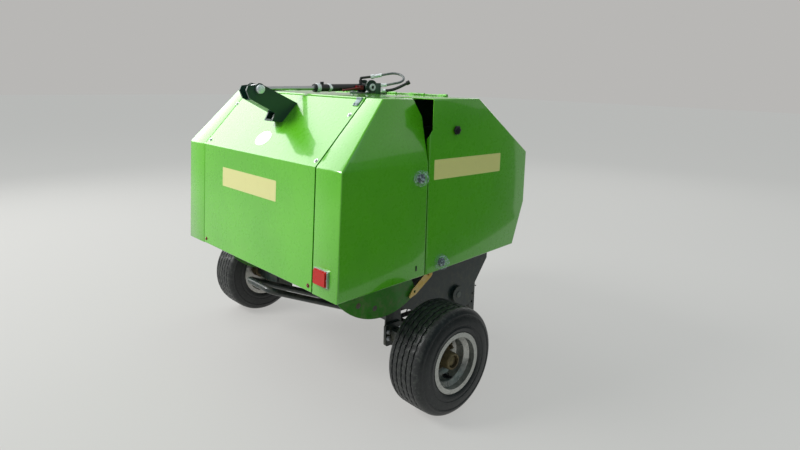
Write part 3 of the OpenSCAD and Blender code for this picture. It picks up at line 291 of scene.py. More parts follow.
def painted(name, colour, shade, dust, gloss, wave, dust_top=0.75, chips=0.0, coat=0.25):
    f = Finish(name)
    broad = f.noise(2.3, 3.0)
    base = f.blend(f.step(broad, 0.35, 0.7), colour, shade)
    fine = f.noise(34.0, 8.0, 0.7)
    low = f.step(f.part("Z"), dust_top, 0.12)
    grime = f.maths("MULTIPLY", f.step(fine, 0.42, 0.78), f.maths("MULTIPLY", low, dust))
    cloud = f.maths("MULTIPLY", f.step(f.noise(7.0, 6.0), 0.5, 0.85), dust * 0.25)
    grime = f.maths("ADD", grime, cloud)
    dusty = f.blend(grime, base, DUST)
    if chips:
        chip = f.step(f.noise(95.0, 5.0, 0.55), 0.70 - chips * 0.05, 0.73)
        spread = f.step(f.noise(9.0, 3.0), 0.52, 0.62)
        dusty = f.blend(f.maths("MULTIPLY", chip, spread), dusty, PRIMER)
    rough = f.maths("ADD", f.scaled(fine, 0.16, gloss), f.maths("MULTIPLY", grime, 0.5))
    f.set(Base_Color=dusty, Roughness=rough, Coat_Weight=coat, Coat_Roughness=0.05)
    swell = f.bump(f.noise(3.2, 1.0, 0.4), wave, 0.004)
    f.bump(f.noise(420.0, 2.0), 0.05, 0.0004, swell)
    return f.mat


lime_paint = painted("lime green paint", rgb(94, 184, 22), rgb(86, 174, 20), 0.14, 0.20, 0.20,
                     coat=0.85)
plate_paint = painted("green chamber paint", rgb(70, 158, 34), rgb(58, 138, 30), 0.75, 0.34, 0.15,
                      0.9, 0.9)
frame_paint = painted("black green paint", rgb(28, 44, 42), rgb(20, 34, 33), 0.34, 0.30, 0.15,
                      0.75, 0.6)
arm_paint = painted("dark green paint", rgb(20, 58, 44), rgb(14, 44, 34), 0.20, 0.24, 0.15, 0.75, 0.4)
barrel_paint = painted("black barrel paint", rgb(26, 28, 32), rgb(18, 20, 22), 0.25, 0.22, 0.06)
dark_red = painted("dark red paint", rgb(122, 22, 24), rgb(96, 16, 20), 0.12, 0.22, 0.08)
reel_paint = painted("worn reel paint", rgb(92, 94, 88), rgb(70, 72, 68), 0.7, 0.40, 0.05, 0.9, 1.0)
print("seven paints")

# %% [markdown]
# Bare steel shows how it was made or used. The rod is ground and polished, rollers are scoured by
# the crop in rings round their axis, zinc plating is yellow with a faint rainbow, and castings are
# coarse. Stretching a noise along one axis gives the rings and brush marks.
# %% Bare metals
def scoured_steel(name, colour, rust, amount, rough=0.36):
    f = Finish(name)
    rings = f.noise(60.0, 6.0, 0.6, f.stretched(8.0, 0.35, 0.35))
    patch = f.step(f.noise(6.5, 8.0, 0.65), 0.62 - amount * 0.3, 0.80 - amount * 0.2)
    f.set(Base_Color=f.blend(patch, colour, rust),
          Metallic=f.maths("SUBTRACT", 1.0, f.maths("MULTIPLY", patch, 0.85)),
          Roughness=f.scaled(rings, 0.25, f.scaled(patch, 0.35, rough - 0.12)))
    f.bump(rings, 0.10, 0.0006)
    return f.mat


def plated(name, colour, tint, rough, metallic=0.9):
    f = Finish(name)
    haze = f.noise(26.0, 5.0, 0.6)
    f.set(Base_Color=f.blend(f.step(haze, 0.35, 0.65), colour, tint), Metallic=metallic,
          Roughness=f.scaled(haze, 0.22, rough))
    f.bump(f.noise(260.0, 3.0), 0.08, 0.0004)
    return f.mat


def cast_metal(name, colour, dirt, rough, metallic):
    f = Finish(name)
    grain = f.noise(170.0, 6.0, 0.7)
    mottle = f.step(f.noise(16.0, 8.0, 0.7), 0.40, 0.66)
    f.set(Base_Color=f.blend(mottle, colour, dirt), Metallic=metallic,
          Roughness=f.scaled(grain, 0.25, rough))
    f.bump(grain, 0.35, 0.0010)
    return f.mat


roller_steel = scoured_steel("scoured roller steel", rgb(150, 148, 142), rgb(112, 78, 50), 0.45)
pin_steel = scoured_steel("turned pin steel", rgb(176, 172, 160), rgb(120, 88, 56), 0.25, 0.30)
zinc = plated("yellow zinc", rgb(202, 172, 92), rgb(214, 190, 132), 0.24)
white_zinc = plated("white zinc", rgb(206, 208, 210), rgb(184, 188, 194), 0.22)
bright_zinc = plated("bright zinc", rgb(240, 241, 242), rgb(224, 227, 230), 0.30, 0.45)
rod_chrome = plated("hard chrome", rgb(196, 198, 200), rgb(184, 187, 190), 0.20)
casting = cast_metal("painted casting", rgb(58, 62, 62), rgb(86, 80, 68), 0.50, 0.2)
rusty_hub = cast_metal("rusty hub casting", rgb(124, 108, 76), rgb(78, 64, 46), 0.46, 0.45)
chain_steel = cast_metal("oily chain steel", rgb(74, 66, 56), rgb(42, 36, 30), 0.34, 0.7)
print("nine bare metals")

# %% [markdown]
# The rims are galvanised: a silver skin with spangle, like frost on a window. A Voronoi texture
# gives the flat crystals, each with its own brightness, and a noise adds the stains of road dirt.
# %% Galvanised rims
def galvanised(name):
    f = Finish(name)
    crystal = f.add("TexVoronoi", {"Vector": f.coords, "Scale": 85.0}).outputs["Color"]
    grey = f.add("SeparateColor", {"Color": crystal}).outputs["Red"]
    stain = f.step(f.noise(11.0, 7.0, 0.7), 0.58, 0.80)
    base = f.blend(grey, rgb(170, 169, 164), rgb(194, 193, 187))
    base = f.blend(f.maths("MULTIPLY", stain, 0.7), base, rgb(140, 122, 96))
    f.set(Base_Color=base, Metallic=0.75,
          Roughness=f.scaled(grey, 0.14, f.scaled(stain, 0.25, 0.26)))
    f.bump(f.noise(140.0, 3.0), 0.10, 0.0005)
    return f.mat


rim_silver = galvanised("galvanised rim")
print("rims ready")

# %% [markdown]
# Tyre rubber is dark grey rather than black, with pale dust on the tread where it met the ground and
# fine mould lines round the sidewall. The distance from the wheel's axle, in metres, picks tread
# from sidewall, so one finish serves both wheels.
# %% Rubber
TREAD_FROM, TREAD_TO, MOULD_LINES = 0.186, 0.205, 1900.0


def tyre_rubber(name):
    f = Finish(name)
    axle = at(0, 0, TYRE_R)
    dy = f.maths("SUBTRACT", f.part("Y"), axle.y)
    dz = f.maths("SUBTRACT", f.part("Z"), axle.z)
    radius = f.maths("SQRT", f.maths("ADD", f.maths("MULTIPLY", dy, dy), f.maths("MULTIPLY", dz, dz)))
    tread = f.step(radius, TREAD_FROM, TREAD_TO)
    speckle = f.noise(70.0, 8.0, 0.75)
    cloud = f.noise(8.0, 5.0)
    dust = f.maths("MULTIPLY", f.step(speckle, 0.46, 0.68),
                   f.scaled(tread, 0.17, f.maths("MULTIPLY", cloud, 0.16)))
    base = f.blend(cloud, rgb(22, 24, 25), rgb(34, 36, 37))
    f.set(Base_Color=f.blend(dust, base, rgb(132, 134, 122)), Roughness=f.scaled(dust, 0.3, 0.42))
    rings = f.maths("SINE", f.maths("MULTIPLY", radius, MOULD_LINES))
    ringed = f.bump(f.maths("MULTIPLY", rings, f.maths("SUBTRACT", 1.0, tread)), 0.12, 0.0006)
    f.bump(f.noise(300.0, 4.0, 0.7), 0.20, 0.0006, ringed)
    return f.mat


rubber = tyre_rubber("tyre rubber")
print("rubber ready")

# %% [markdown]
# Moulded plastics: the black knobs, the yellow cone round the drive shaft and the lamp's red lens.
# The lens is acrylic with a grid of little prisms moulded inside, drawn here as a fine square bump.
# %% Plastics
PRISMS = 1300.0


def moulded(name, colour, scuff, rough, subsurface=0.0):
    f = Finish(name)
    worn = f.step(f.noise(30.0, 8.0, 0.7), 0.52, 0.80)
    f.set(Base_Color=f.blend(f.maths("MULTIPLY", worn, 0.5), colour, scuff),
          Roughness=f.scaled(worn, 0.2, rough), Subsurface_Weight=subsurface)
    f.bump(f.noise(380.0, 3.0, 0.6), 0.12, 0.0004)
    return f.mat


def lens(name, colour, tint):
    f = Finish(name)
    across = f.maths("SINE", f.maths("MULTIPLY", f.part("X"), PRISMS))
    up = f.maths("SINE", f.maths("MULTIPLY", f.part("Z"), PRISMS))
    f.set(Base_Color=f.blend(f.noise(40.0, 3.0), colour, tint), Roughness=0.24,
          Transmission_Weight=0.15, Specular_IOR_Level=0.25, Coat_Weight=0.2, Coat_Roughness=0.05)
    f.bump(f.maths("MULTIPLY", across, up), 0.30, 0.0010)
    return f.mat


knob_black = moulded("black knob plastic", rgb(24, 25, 28), rgb(58, 60, 64), 0.38)
guard_yellow = moulded("yellow guard plastic", rgb(232, 178, 26), rgb(206, 170, 70), 0.42, 0.05)
lens_red = lens("red lens", rgb(186, 14, 6), rgb(208, 26, 10))
print("plastics ready")

# %% [markdown]
# Each CAD solid whose shape is already right keeps it, and only takes its finish here. The names are
# grouped by finish, as the parts would be for the paint shop.
# %% Finishes for the CAD solids
FINISHED = (
    (lime_paint, "hood front_cover_right front_cover_left twine_lid gate_panel gate_cover_right "
                 "gate_cover_left"),
    (plate_paint, "wrapper twine_box gate_wall_right gate_wall_left"),
    (frame_paint, "side_frame_right side_frame_left under_beam front_frame stripper_bands "
                  "crop_guard drive_tube parking_legs kicker"),
    (arm_paint, "cylinder_lug gate_arm"), (barrel_paint, "cylinder_barrel"),
    (dark_red, "cylinder_valve"), (reel_paint, "pickup_reel"), (zinc, "latch_hooks"),
    (pin_steel, "hitch_pins drive_shaft"), (roller_steel, "front_rollers gate_rollers"),
    (rod_chrome, "cylinder_rod"), (casting, "gearbox"), (chain_steel, "drive_chains"),
    (rubber, "tyre_right tyre_left"), (rim_silver, "rim_right rim_left"),
    (rusty_hub, "hub_right hub_left"), (knob_black, "front_knobs gate_knobs"),
    (guard_yellow, "drive_guard"), (lens_red, "tail_lamp"),
)
node_finish = {name: finish for finish, names in FINISHED for name in names.split()}
for name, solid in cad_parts.items():
    solid.data.materials.clear()
    solid.data.materials.append(node_finish[name])
print(len(node_finish), "solids finished")

# %% [markdown]
# ## New pieces
# Everything below is shaped in millimetres counted from the axle, because the numbers are then the
# ones on the drawing. The last step of each piece scales and shifts its mesh into the frame, so the
# object itself stays at the origin, and hands it to the body that carries it.
# %% Helper that finishes a piece
TO_FRAME = Matrix.Scale(0.001, 4) @ Matrix.Translation((0, AXLE_Y, 0))


def finish_piece(name, bm, finish, body, sharp=35, flip=False):
    """Make a bmesh a piece of the machine. A flipped one is mirrored to the left side."""
    if flip:
        bmesh.ops.transform(bm, matrix=Matrix.Scale(-1, 4, (1, 0, 0)), verts=bm.verts)
        bmesh.ops.reverse_faces(bm, faces=bm.faces)
    bmesh.ops.transform(bm, matrix=TO_FRAME, verts=bm.verts)
    mesh = bpy.data.meshes.new(name)
    bm.to_mesh(mesh)
    bm.free()
    mesh.materials.append(finish)
    mesh.shade_smooth()
    mesh.set_sharp_from_angle(angle=math.radians(sharp))
    piece = bpy.data.objects.new(name, mesh)
    bpy.context.scene.collection.objects.link(piece)
    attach(piece, body)
    return piece


print("new pieces are drawn in millimetres from the axle")

# %% [markdown]
# ## The four side covers
# A side cover is one sheet of 3 mm steel: a flat side, folded round at the back and the top, with a
# narrow lip along its free edges that keeps it stiff. It could be a box with thin walls, but then
# every edge would be knife sharp. Here it is made as in the workshop. The flat side is one polygon,
# its edges are extruded where the sheet turns, all folds are bevelled to the bending radius, and
# Solidify gives the sheet its thickness at the end. Edges are found again by the line of points that
# they follow in the side view.
# %% Helpers for sheet steel
SKIN, DEBURRED, FOLD_R, LIP = 3, 0.6, 6, 18
CLOSE, FLAT_ANGLE, SHARP_ANGLE = 0.5, 0.15, math.radians(50)


def inset(line, depth):
    """A side-view line moved in, to the right of the walking direction."""
    normals = []
    for (y0, z0), (y1, z1) in zip(line, line[1:]):
        length = math.hypot(y1 - y0, z1 - z0)
        normals.append(Vector(((z1 - z0) / length, -(y1 - y0) / length)))
    normals = [normals[0]] + normals + [normals[-1]]
    return [Vector(p) + depth * (n + m) / (1 + n.dot(m)) for p, n, m in zip(line, normals, normals[1:])]


def place_on(vert, line):
    """Number of the line's point at which a vertex lies, or None."""
    for i, (y, z) in enumerate(line):
        if abs(vert.co.y - y) < CLOSE and abs(vert.co.z - z) < CLOSE:
            return i
    return None


def edges_along(bm, line):
    found = []
    for edge in bm.edges:
        ends = [place_on(v, line) for v in edge.verts]
        if None not in ends and abs(ends[0] - ends[1]) == 1:
            found.append(edge)
    return found


def turn_edges(bm, edges):
    """Extrude edges and return the new vertices, which still lie on the old ones."""
    made = bmesh.ops.extrude_edge_only(bm, edges=edges)["geom"]
    return [g for g in made if isinstance(g, bmesh.types.BMVert)]


def turn_inwards(bm, line, in_x, depth):
    """Fold the sheet over along a line as far as in_x, and end it with a lip of the given depth."""
    for vert in turn_edges(bm, edges_along(bm, line)):
        vert.co.x = in_x
    inner = [e for e in edges_along(bm, line) if max(v.co.x for v in e.verts) < in_x + 1]
    deep = inset(line, depth)
    for vert in turn_edges(bm, inner):
        vert.co.y, vert.co.z = deep[place_on(vert, line)]


def round_folds(bm):
    folds = [e for e in bm.edges if len(e.link_faces) == 2 and e.calc_face_angle(0) > FLAT_ANGLE]
    bmesh.ops.bevel(bm, geom=folds, offset=FOLD_R, offset_type="OFFSET", affect="EDGES",
                    segments=4, profile=0.5, material=-1, clamp_overlap=True)


def face_outwards(bm, middle):
    """Point the open sheet's faces away from a point inside the machine."""
    bmesh.ops.recalc_face_normals(bm, faces=bm.faces)
    largest = max(bm.faces, key=lambda f: f.calc_area())
    if largest.normal.dot(largest.calc_center_median() - Vector(middle)) < 0:
        bmesh.ops.reverse_faces(bm, faces=bm.faces)


def sheet_steel(piece):
    solid = piece.modifiers.new("sheet", "SOLIDIFY")
    solid.thickness = SKIN / 1000
    solid.offset = -1
    solid.use_even_offset = True
    edge = piece.modifiers.new("deburred edge", "BEVEL")
    edge.width = DEBURRED / 1000
    edge.segments = 2
    edge.limit_method = "ANGLE"
    edge.angle_limit = SHARP_ANGLE


print("sheet helpers ready")

# %% [markdown]
# The rear cover leans in above the bend between rear face and slant: the polygon is cut there with
# bisect_plane, and everything higher is moved inwards in proportion to its height. Its corners are
# the named ones. Lips 18 mm deep stiffen its seam and its lower edge, with their ends cut at a slant.
# %% Rear covers
REAR_LINE = [REAR_LOW, REAR_MID, TOP_REAR, (-30, HOOD_Z)]
SEAM_TOP, INSIDE_GATE = (SEAM_REAR, 1100), (300, -60, 700)


def rear_cover():
    bm = bmesh.new()
    side = REAR_LINE + [SEAM_TOP, (SEAM_REAR, SEAM_LOW)]
    bmesh.ops.contextual_create(bm, geom=[bm.verts.new((COVER_X, y, z)) for y, z in side])
    bmesh.ops.bisect_plane(bm, geom=bm.verts[:] + bm.edges[:] + bm.faces[:], dist=0.01,
                           plane_co=(0, 0, REAR_MID[1]), plane_no=(0, 0, 1))
    lean = (COVER_X - LEAN_X) / (TOP_REAR[1] - REAR_MID[1])
    for vert in bm.verts:
        vert.co.x -= lean * max(0, vert.co.z - REAR_MID[1])
    seam = [SEAM_TOP, (SEAM_REAR, REAR_MID[1]), (SEAM_REAR, SEAM_LOW)]
    for vert in turn_edges(bm, edges_along(bm, seam)):
        vert.co.x -= LIP
        vert.co.z += LIP * (vert.co.z < SEAM_LOW + 1)
    under = [REAR_LOW, (SEAM_REAR, SEAM_LOW)]
    for vert in turn_edges(bm, edges_along(bm, under)):
        vert.co.x -= LIP
        vert.co.y += LIP * (1 if vert.co.y < 0 else -1)
    turn_inwards(bm, REAR_LINE, REAR_IN_X, LIP - SKIN)
    round_folds(bm)
    face_outwards(bm, INSIDE_GATE)
    return bm


for side in ("right", "left"):
    cover = finish_piece("rear_cover_" + side, rear_cover(), lime_paint, "gate", flip=side == "left")
    sheet_steel(cover)
    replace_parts(cover, "gate_cover_" + side)
print("rear covers:", len(cover.data.polygons), "faces each")

# %% [markdown]
# The front cover carries the machine's nose. It stays flat at the side, and its seam has a small
# step near the top, where the wedge-shaped gap between the covers begins.
# %% Front covers
STEP_LOW, STEP_HIGH = (SEAM_FRONT, 1044), (26, 1060)
FRONT_LINE = [(STEP_HIGH[0], HOOD_Z), TOP_FRONT, NOSE_TOP, NOSE_LOW, FRONT_LOW]
NOSE_LIP, INSIDE_FRONT = 10, (300, 200, 700)


def front_cover():
    bm = bmesh.new()
    side = [(SEAM_FRONT, SEAM_LOW), STEP_LOW, STEP_HIGH] + FRONT_LINE
    bmesh.ops.contextual_create(bm, geom=[bm.verts.new((COVER_X, y, z)) for y, z in side])
    seam = [STEP_LOW, (SEAM_FRONT, SEAM_LOW)]
    for vert in turn_edges(bm, edges_along(bm, seam)):
        vert.co.x -= LIP
        vert.co.z += LIP * (1 if vert.co.z < SEAM_LOW + 1 else -1)
    under = [(SEAM_FRONT, SEAM_LOW), FRONT_LOW]
    for vert in turn_edges(bm, edges_along(bm, under)):
        vert.co.x -= LIP
        vert.co.y += LIP * (1 if vert.co.y < 100 else -1)
    turn_inwards(bm, FRONT_LINE, FRONT_IN_X, NOSE_LIP)
    round_folds(bm)
    face_outwards(bm, INSIDE_FRONT)
    return bm


for side in ("right", "left"):
    cover = finish_piece("nose_cover_" + side, front_cover(), lime_paint, "frame", flip=side == "left")
    sheet_steel(cover)
    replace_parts(cover, "front_cover_" + side)
print("front covers:", len(cover.data.polygons), "faces each")

# %% [markdown]
# ## Small parts
# Bolts, fittings and rods are all turned or cut bar, so a few helpers draw nearly all of them: a round
# bar between two points, which may taper or have six sides, a block with its edges broken, a bolt on
# its washer, and a shape turned on the lathe, which is an outline spun round an axis.
# %% Helpers for small parts
def rod(bm, a, b, radius, radius_b=None, sides=24):
    a, b = Vector(a), Vector(b)
    turn = (b - a).to_track_quat("Z", "Y").to_matrix().to_4x4()
    made = bmesh.ops.create_cone(bm, cap_ends=True, segments=sides, radius1=radius,
                                 radius2=radius if radius_b is None else radius_b,
                                 depth=(b - a).length, matrix=Matrix.Translation((a + b) / 2) @ turn)
    return made["verts"]


def block(bm, low, high, edge=0.8):
    low, high = Vector(low), Vector(high)
    shape = Matrix.Translation((low + high) / 2) @ Matrix.Diagonal((high - low).to_4d())
    verts = bmesh.ops.create_cube(bm, size=1, matrix=shape)["verts"]
    edges = list({e for v in verts for e in v.link_edges})
    bmesh.ops.bevel(bm, geom=edges, offset=edge, affect="EDGES", segments=2, profile=0.5, material=-1)


def bolt(bm, base, axis, across=17, height=7, washer=2.0):
    """A washer and a hexagon head standing on a surface, the head's top edges broken."""
    base, axis = Vector(base), Vector(axis).normalized()
    rod(bm, base - axis * 0.3, base + axis * washer, across * 0.92)
    corner = across / math.sqrt(3)
    top = base + axis * (washer + height)
    rod(bm, base + axis * washer, top - axis * 1.2, corner, sides=6)
    rod(bm, top - axis * 1.2, top, corner, corner - 1.8, sides=6)


def turned(bm, base, axis, outline, sides=32):
    """A shape turned on a lathe: outline gives (distance along the axis, radius) pairs."""
    base, axis = Vector(base), Vector(axis).normalized()
    across = axis.orthogonal().normalized()
    verts = [bm.verts.new(base + axis * a + across * r) for a, r in outline]
    edges = [bm.edges.new(pair) for pair in zip(verts, verts[1:])]
    bmesh.ops.spin(bm, geom=verts + edges, cent=base, axis=axis, angle=2 * math.pi, steps=sides,
                   use_merge=True)
    bmesh.ops.remove_doubles(bm, verts=bm.verts, dist=0.001)


def outward(bm):
    """Point the faces of closed shapes outwards, which a spin may have turned round."""
    bmesh.ops.recalc_face_normals(bm, faces=bm.faces)
    return bm


print("small part helpers ready")

# %% [markdown]
# ## Blank stickers
# The rear face and the right front cover each carry a long cream sticker, and the sloping panel a white
# oval. They are cut film, a third of a millimetre thick, and stay blank. Film lies flatter than the
# paint, so it has its own even gloss and a little dirt. The side sticker's cream is painted paler than
# the rear's: painted sheen for the gloss that the film shows in the shade. Each is drawn flat and then
# brought onto its face by a matrix that leans it like the sheet below.
# %% Stickers
FILM_T, PROUD, OVAL_SIDES = 0.35, 0.06, 48
STAND = Matrix.Rotation(math.radians(90), 4, "X")


def film(name, colour, dirt):
    f = Finish(name)
    fine = f.step(f.noise(46.0, 7.0, 0.7), 0.55, 0.80)
    f.set(Base_Color=f.blend(f.maths("MULTIPLY", fine, 0.35), colour, dirt),
          Roughness=f.scaled(fine, 0.2, 0.34), Coat_Weight=0.3)
    f.bump(f.noise(14.0, 3.0), 0.05, 0.0006)
    return f.mat


def sticker(width, height, corner):
    """A flat sticker in its own plane, X across and Z up, facing -Y. Without corners it is an oval."""
    bm = bmesh.new()
    if corner:
        bmesh.ops.create_grid(bm, x_segments=1, y_segments=1, size=0.5, matrix=STAND)
    else:
        bmesh.ops.create_circle(bm, cap_ends=True, segments=OVAL_SIDES, radius=0.5, matrix=STAND)
    bmesh.ops.scale(bm, vec=(width, 1, height), verts=bm.verts)
    if corner:
        bmesh.ops.bevel(bm, geom=bm.verts[:], offset=corner, affect="VERTICES", segments=4,
                        profile=0.5, material=-1)
    made = bmesh.ops.extrude_face_region(bm, geom=bm.faces[:])["geom"]
    bmesh.ops.translate(bm, vec=(0, -FILM_T, 0),
                        verts=[g for g in made if isinstance(g, bmesh.types.BMVert)])
    return outward(bm)


def on_face(low, high, x, z):
    """Matrix that leans a flat thing like the sheet between two corners of the side view."""
    rise = Vector(high) - Vector(low)
    y = low[0] + (z - low[1]) * rise.x / rise.y
    return Matrix.Translation((x, y, z)) @ Matrix.Rotation(-math.atan2(rise.x, rise.y), 4, "X")


def on_rear(x, z):
    return Matrix.Translation((0, -PROUD, 0)) @ on_face(REAR_LOW, REAR_MID, x, z)


def on_slant(x, z, proud=PROUD):
    return on_face(REAR_MID, TOP_REAR, x, z) @ Matrix.Translation((0, -proud, 0))


cream_film = film("cream film", rgb(214, 208, 140), rgb(166, 158, 106))
# The side sticker is the rear's cream film painted paler: painted sheen for its gloss in the shade.
side_film_painted_sheen = film("pale film", rgb(254, 236, 146), rgb(204, 188, 112))
white_film = film("white film", rgb(238, 240, 236), rgb(186, 186, 174))
on_side = Matrix.Translation((COVER_X + PROUD, 241, 907)) @ Matrix.Rotation(math.radians(90), 4, "Z")
for name, size, corner, place, finish, body in (
        ("rear_sticker", (427, 81), 3, on_rear(-39.5, 811.5), cream_film, "gate"),
        ("side_sticker", (403, 77), 3, on_side, side_film_painted_sheen, "frame"),
        ("slant_sticker", (96, 74), 0, on_slant(-15, 995), white_film, "gate")):
    bm = sticker(*size, corner)
    bmesh.ops.transform(bm, matrix=place, verts=bm.verts)
    finish_piece(name, bm, finish, body)
print("three blank stickers")

# %% [markdown]
# ## Cover fittings
# A strap hinge holds the right rear cover at the top of the slant, and bolts fix the panel along its
# edges. A small slot sits low beside the seam, drawn as a thin black block on the cover: its black is
# painted shade of the opening. Strap and bolts stand square on their sheets.
# %% Strap, bolts and slot
STRAP, STRAP_X, STRAP_Z = (29, 3.5, 40), 399, 1158
HINGE_Z, HINGE_HALF, SCREW_Z, SCREW_X = STRAP_Z + 11, 15, STRAP_Z - 9, 8
PANEL_BOLTS = ((404, 1112), (-430, 1112), (404, 955), (-404, 955))
REAR_BOLT_X, REAR_BOLT_Z, REAR_OUT = 403, 503, (0, -1, 0.03)
SLOT_Y, SLOT_Z = -42, 535

strap_grey = painted("grey strap paint", rgb(132, 152, 152), rgb(110, 128, 130), 0.2, 0.4, 0.05)
slant_out = (on_slant(0, 1000).to_3x3() @ Vector((0, -1, 0))).normalized()
bm = bmesh.new()
bmesh.ops.create_cube(bm, size=1)
bmesh.ops.scale(bm, vec=STRAP, verts=bm.verts)
bmesh.ops.bevel(bm, geom=bm.edges[:], offset=1.0, affect="EDGES", segments=2, profile=0.5, material=-1)
bmesh.ops.transform(bm, matrix=on_slant(STRAP_X, STRAP_Z, 1.9), verts=bm.verts)
hinge_ends = [on_slant(STRAP_X + out, HINGE_Z, 4).translation for out in (-HINGE_HALF, HINGE_HALF)]
rod(bm, *hinge_ends, 4)
for x in (STRAP_X - SCREW_X, STRAP_X + SCREW_X):
    bolt(bm, on_slant(x, SCREW_Z, 3.4).translation, slant_out, 7, 3, 0.8)
finish_piece("hinge_strap_right", outward(bm), strap_grey, "gate")
bm = bmesh.new()
for x, z in PANEL_BOLTS:
    bolt(bm, on_slant(x, z, 0).translation, slant_out, 10, 4, 1.2)
finish_piece("slant_bolts", outward(bm), white_zinc, "gate")
bm = bmesh.new()
for x in (-REAR_BOLT_X, REAR_BOLT_X):
    bolt(bm, on_rear(x, REAR_BOLT_Z).translation, REAR_OUT, 9, 4, 1.0)
finish_piece("rear_bolts", outward(bm), dark_red, "gate")
bm = bmesh.new()
# Thin black block at the slot: painted shade of the opening.
block(bm, (COVER_X - 1, SLOT_Y - 4, SLOT_Z - 10), (COVER_X + 1, SLOT_Y + 4, SLOT_Z + 10), 0.5)
finish_piece("slot_plug", bm, knob_black, "gate")
print("cover fittings on")

# %% [markdown]
# ## Tail lamp
# The red lens sits in a thin bright frame of four bars, with one screw at its right edge.
# %% Lamp frame
LAMP_X, LAMP_Z = 485, 555
BARS = {"top": ((-41, -6, 26), (41, 3, 30)), "bottom": ((-41, -6, -30), (41, 3, -27)),
        "right": ((35.5, -9, -27), (41, 3, 27)), "left": ((-41, -6, -27), (-37.5, 3, 27))}

bm = bmesh.new()
for low, high in BARS.values():
    block(bm, low, high, 0.7)
rod(bm, (38.3, -9, 0), (38.3, -11, 0), 2.4, 1.8, 12)
bmesh.ops.transform(bm, matrix=on_rear(LAMP_X, LAMP_Z), verts=bm.verts)
finish_piece("lamp_frame", outward(bm), white_zinc, "gate")
print("lamp framed")

# %% [markdown]
# ## Hydraulics
# The closed cylinder lies along the top. Its lug-side port takes an elbow with a crimped hose end; the
# hose makes one tilted loop and comes back to a small steel block on the hood beside the lug, where
# the supply hose starts. Rubber hose kinks when it is bent tighter than about four of its diameters,
# so the loop's radius is chosen from the hose, not the other way round. Both routes are drawn first,
# as points that are joined by a smooth line.
# %% Hose routes
POINT_GAP, EASINGS = 4.0, 20
OUTWARD, UP = Vector((0.674, 0.739, 0)), Vector((0, 0, 1))
LOOP_R, LOOP_MIDDLE, LOOP_TILT = 47.0, Vector((125, 233.7, 1245)), Vector((-30, 27.4, 22.5))
SUPPLY_START = Vector((134.3, 176.9, 1190.8))


def smooth_line(points):
    """Points every few millimetres along the given ones (Catmull-Rom), then eased between the ends."""
    pts = [Vector(p) for p in points]
    pts = [2 * pts[0] - pts[1]] + pts + [2 * pts[-1] - pts[-2]]
    line = []
    for p0, p1, p2, p3 in zip(pts, pts[1:], pts[2:], pts[3:]):
        count = max(1, round((p2 - p1).length / POINT_GAP))
        for k in range(count):
            t = k / count
            line.append(0.5 * (2 * p1 + (p2 - p0) * t + (2 * p0 - 5 * p1 + 4 * p2 - p3) * t * t
                               + (3 * p1 - p0 - 3 * p2 + p3) * t ** 3))
    line.append(pts[-2])
    for _ in range(EASINGS):
        middle = [0.5 * q + 0.25 * (p + r) for p, q, r in zip(line[2:-4], line[3:-3], line[4:-2])]
        line[3:-3] = middle
    return line


leaving = [(40, 191.9, 1251.5), (62, 216, 1257.5), (79, 234.7, 1262.5)]
turning = [LOOP_MIDDLE + LOOP_TILT * math.cos(math.radians(angle))
           + OUTWARD * LOOP_R * math.sin(math.radians(angle)) for angle in range(0, 181, 45)]
returning = [(143, 193.5, 1218), (131, 181, 1215)]
loop = smooth_line(leaving + turning + returning)
supply = smooth_line([SUPPLY_START + OUTWARD * far + UP * high
                      for far, high in ((0, 0), (24, 2), (50, 11), (76, 24), (96, 35))])
print("the loop's radius is", LOOP_R, "mm for a hose of 10.5 mm")

# %% [markdown]
# A fitting is a hexagon nut and a ferrule, crimped on the hose in rings. The elbow swings with the
# barrel, and so does the first fitting; the block, the other fittings and the four bolts of the lug's
# base stay on the frame. A cap closes the supply hose.
# %% Fittings
PORT, ELBOW = Vector((0, 147.6, 1228.6)), Vector((0, 148, 1243))
ELBOW_R, CRIMPS = 5.5, 4
BLOCK_SIZE, BLOCK_PLACE, BLOCK_TURN = (20, 22, 48), (109, 158, 1199), math.radians(-42.4)
LUG_BOLT_X, LUG_BOLT_Y, LUG_BASE_Z = 50, (143, 245), HOOD_Z + 6


def crimped(bm, a, b, hose_r):
    """A hexagon nut and a ferrule with crimping rings, from a to b, over a hose's end."""
    a, b = Vector(a), Vector(b)
    axis, length = (b - a).normalized(), (b - a).length
    rod(bm, a, a + axis * length * 0.30, hose_r + 4.0, sides=6)
    rod(bm, a + axis * length * 0.30, a + axis * length * 0.40, hose_r + 0.5)
    low, high, ring_length = hose_r + 1.2, hose_r + 2.4, length * 0.60 / CRIMPS
    outline = [(length * 0.40, hose_r * 0.5)]
    for k in range(CRIMPS):
        start = length * 0.40 + ring_length * k
        outline += [(start, low), (start + 1.2, high),
                    (start + ring_length - 2.0, high), (start + ring_length - 0.8, low)]
    outline += [(length, hose_r * 0.5)]
    turned(bm, a, axis, outline, 20)


bm = bmesh.new()
rod(bm, PORT - UP * 2, PORT + UP * 6, 8.6, sides=6)
rod(bm, PORT + UP * 5, ELBOW, ELBOW_R)
bmesh.ops.create_uvsphere(bm, u_segments=20, v_segments=12, radius=ELBOW_R,
                          matrix=Matrix.Translation(ELBOW))
rod(bm, ELBOW, ELBOW + OUTWARD * 50 + UP * 7, ELBOW_R)
finish_piece("port_elbow", outward(bm), barrel_paint, "barrel")
bm = bmesh.new()
crimped(bm, (30, 181, 1249), (64, 218.2, 1258), 6)
finish_piece("loop_fitting", outward(bm), bright_zinc, "barrel")
bm = bmesh.new()
half = Vector(BLOCK_SIZE) / 2
block(bm, -half, half, 1.2)
bmesh.ops.transform(bm, verts=bm.verts,
                    matrix=Matrix.Translation(BLOCK_PLACE) @ Matrix.Rotation(BLOCK_TURN, 4, "Z"))
finish_piece("hose_block", outward(bm), arm_paint, "frame")
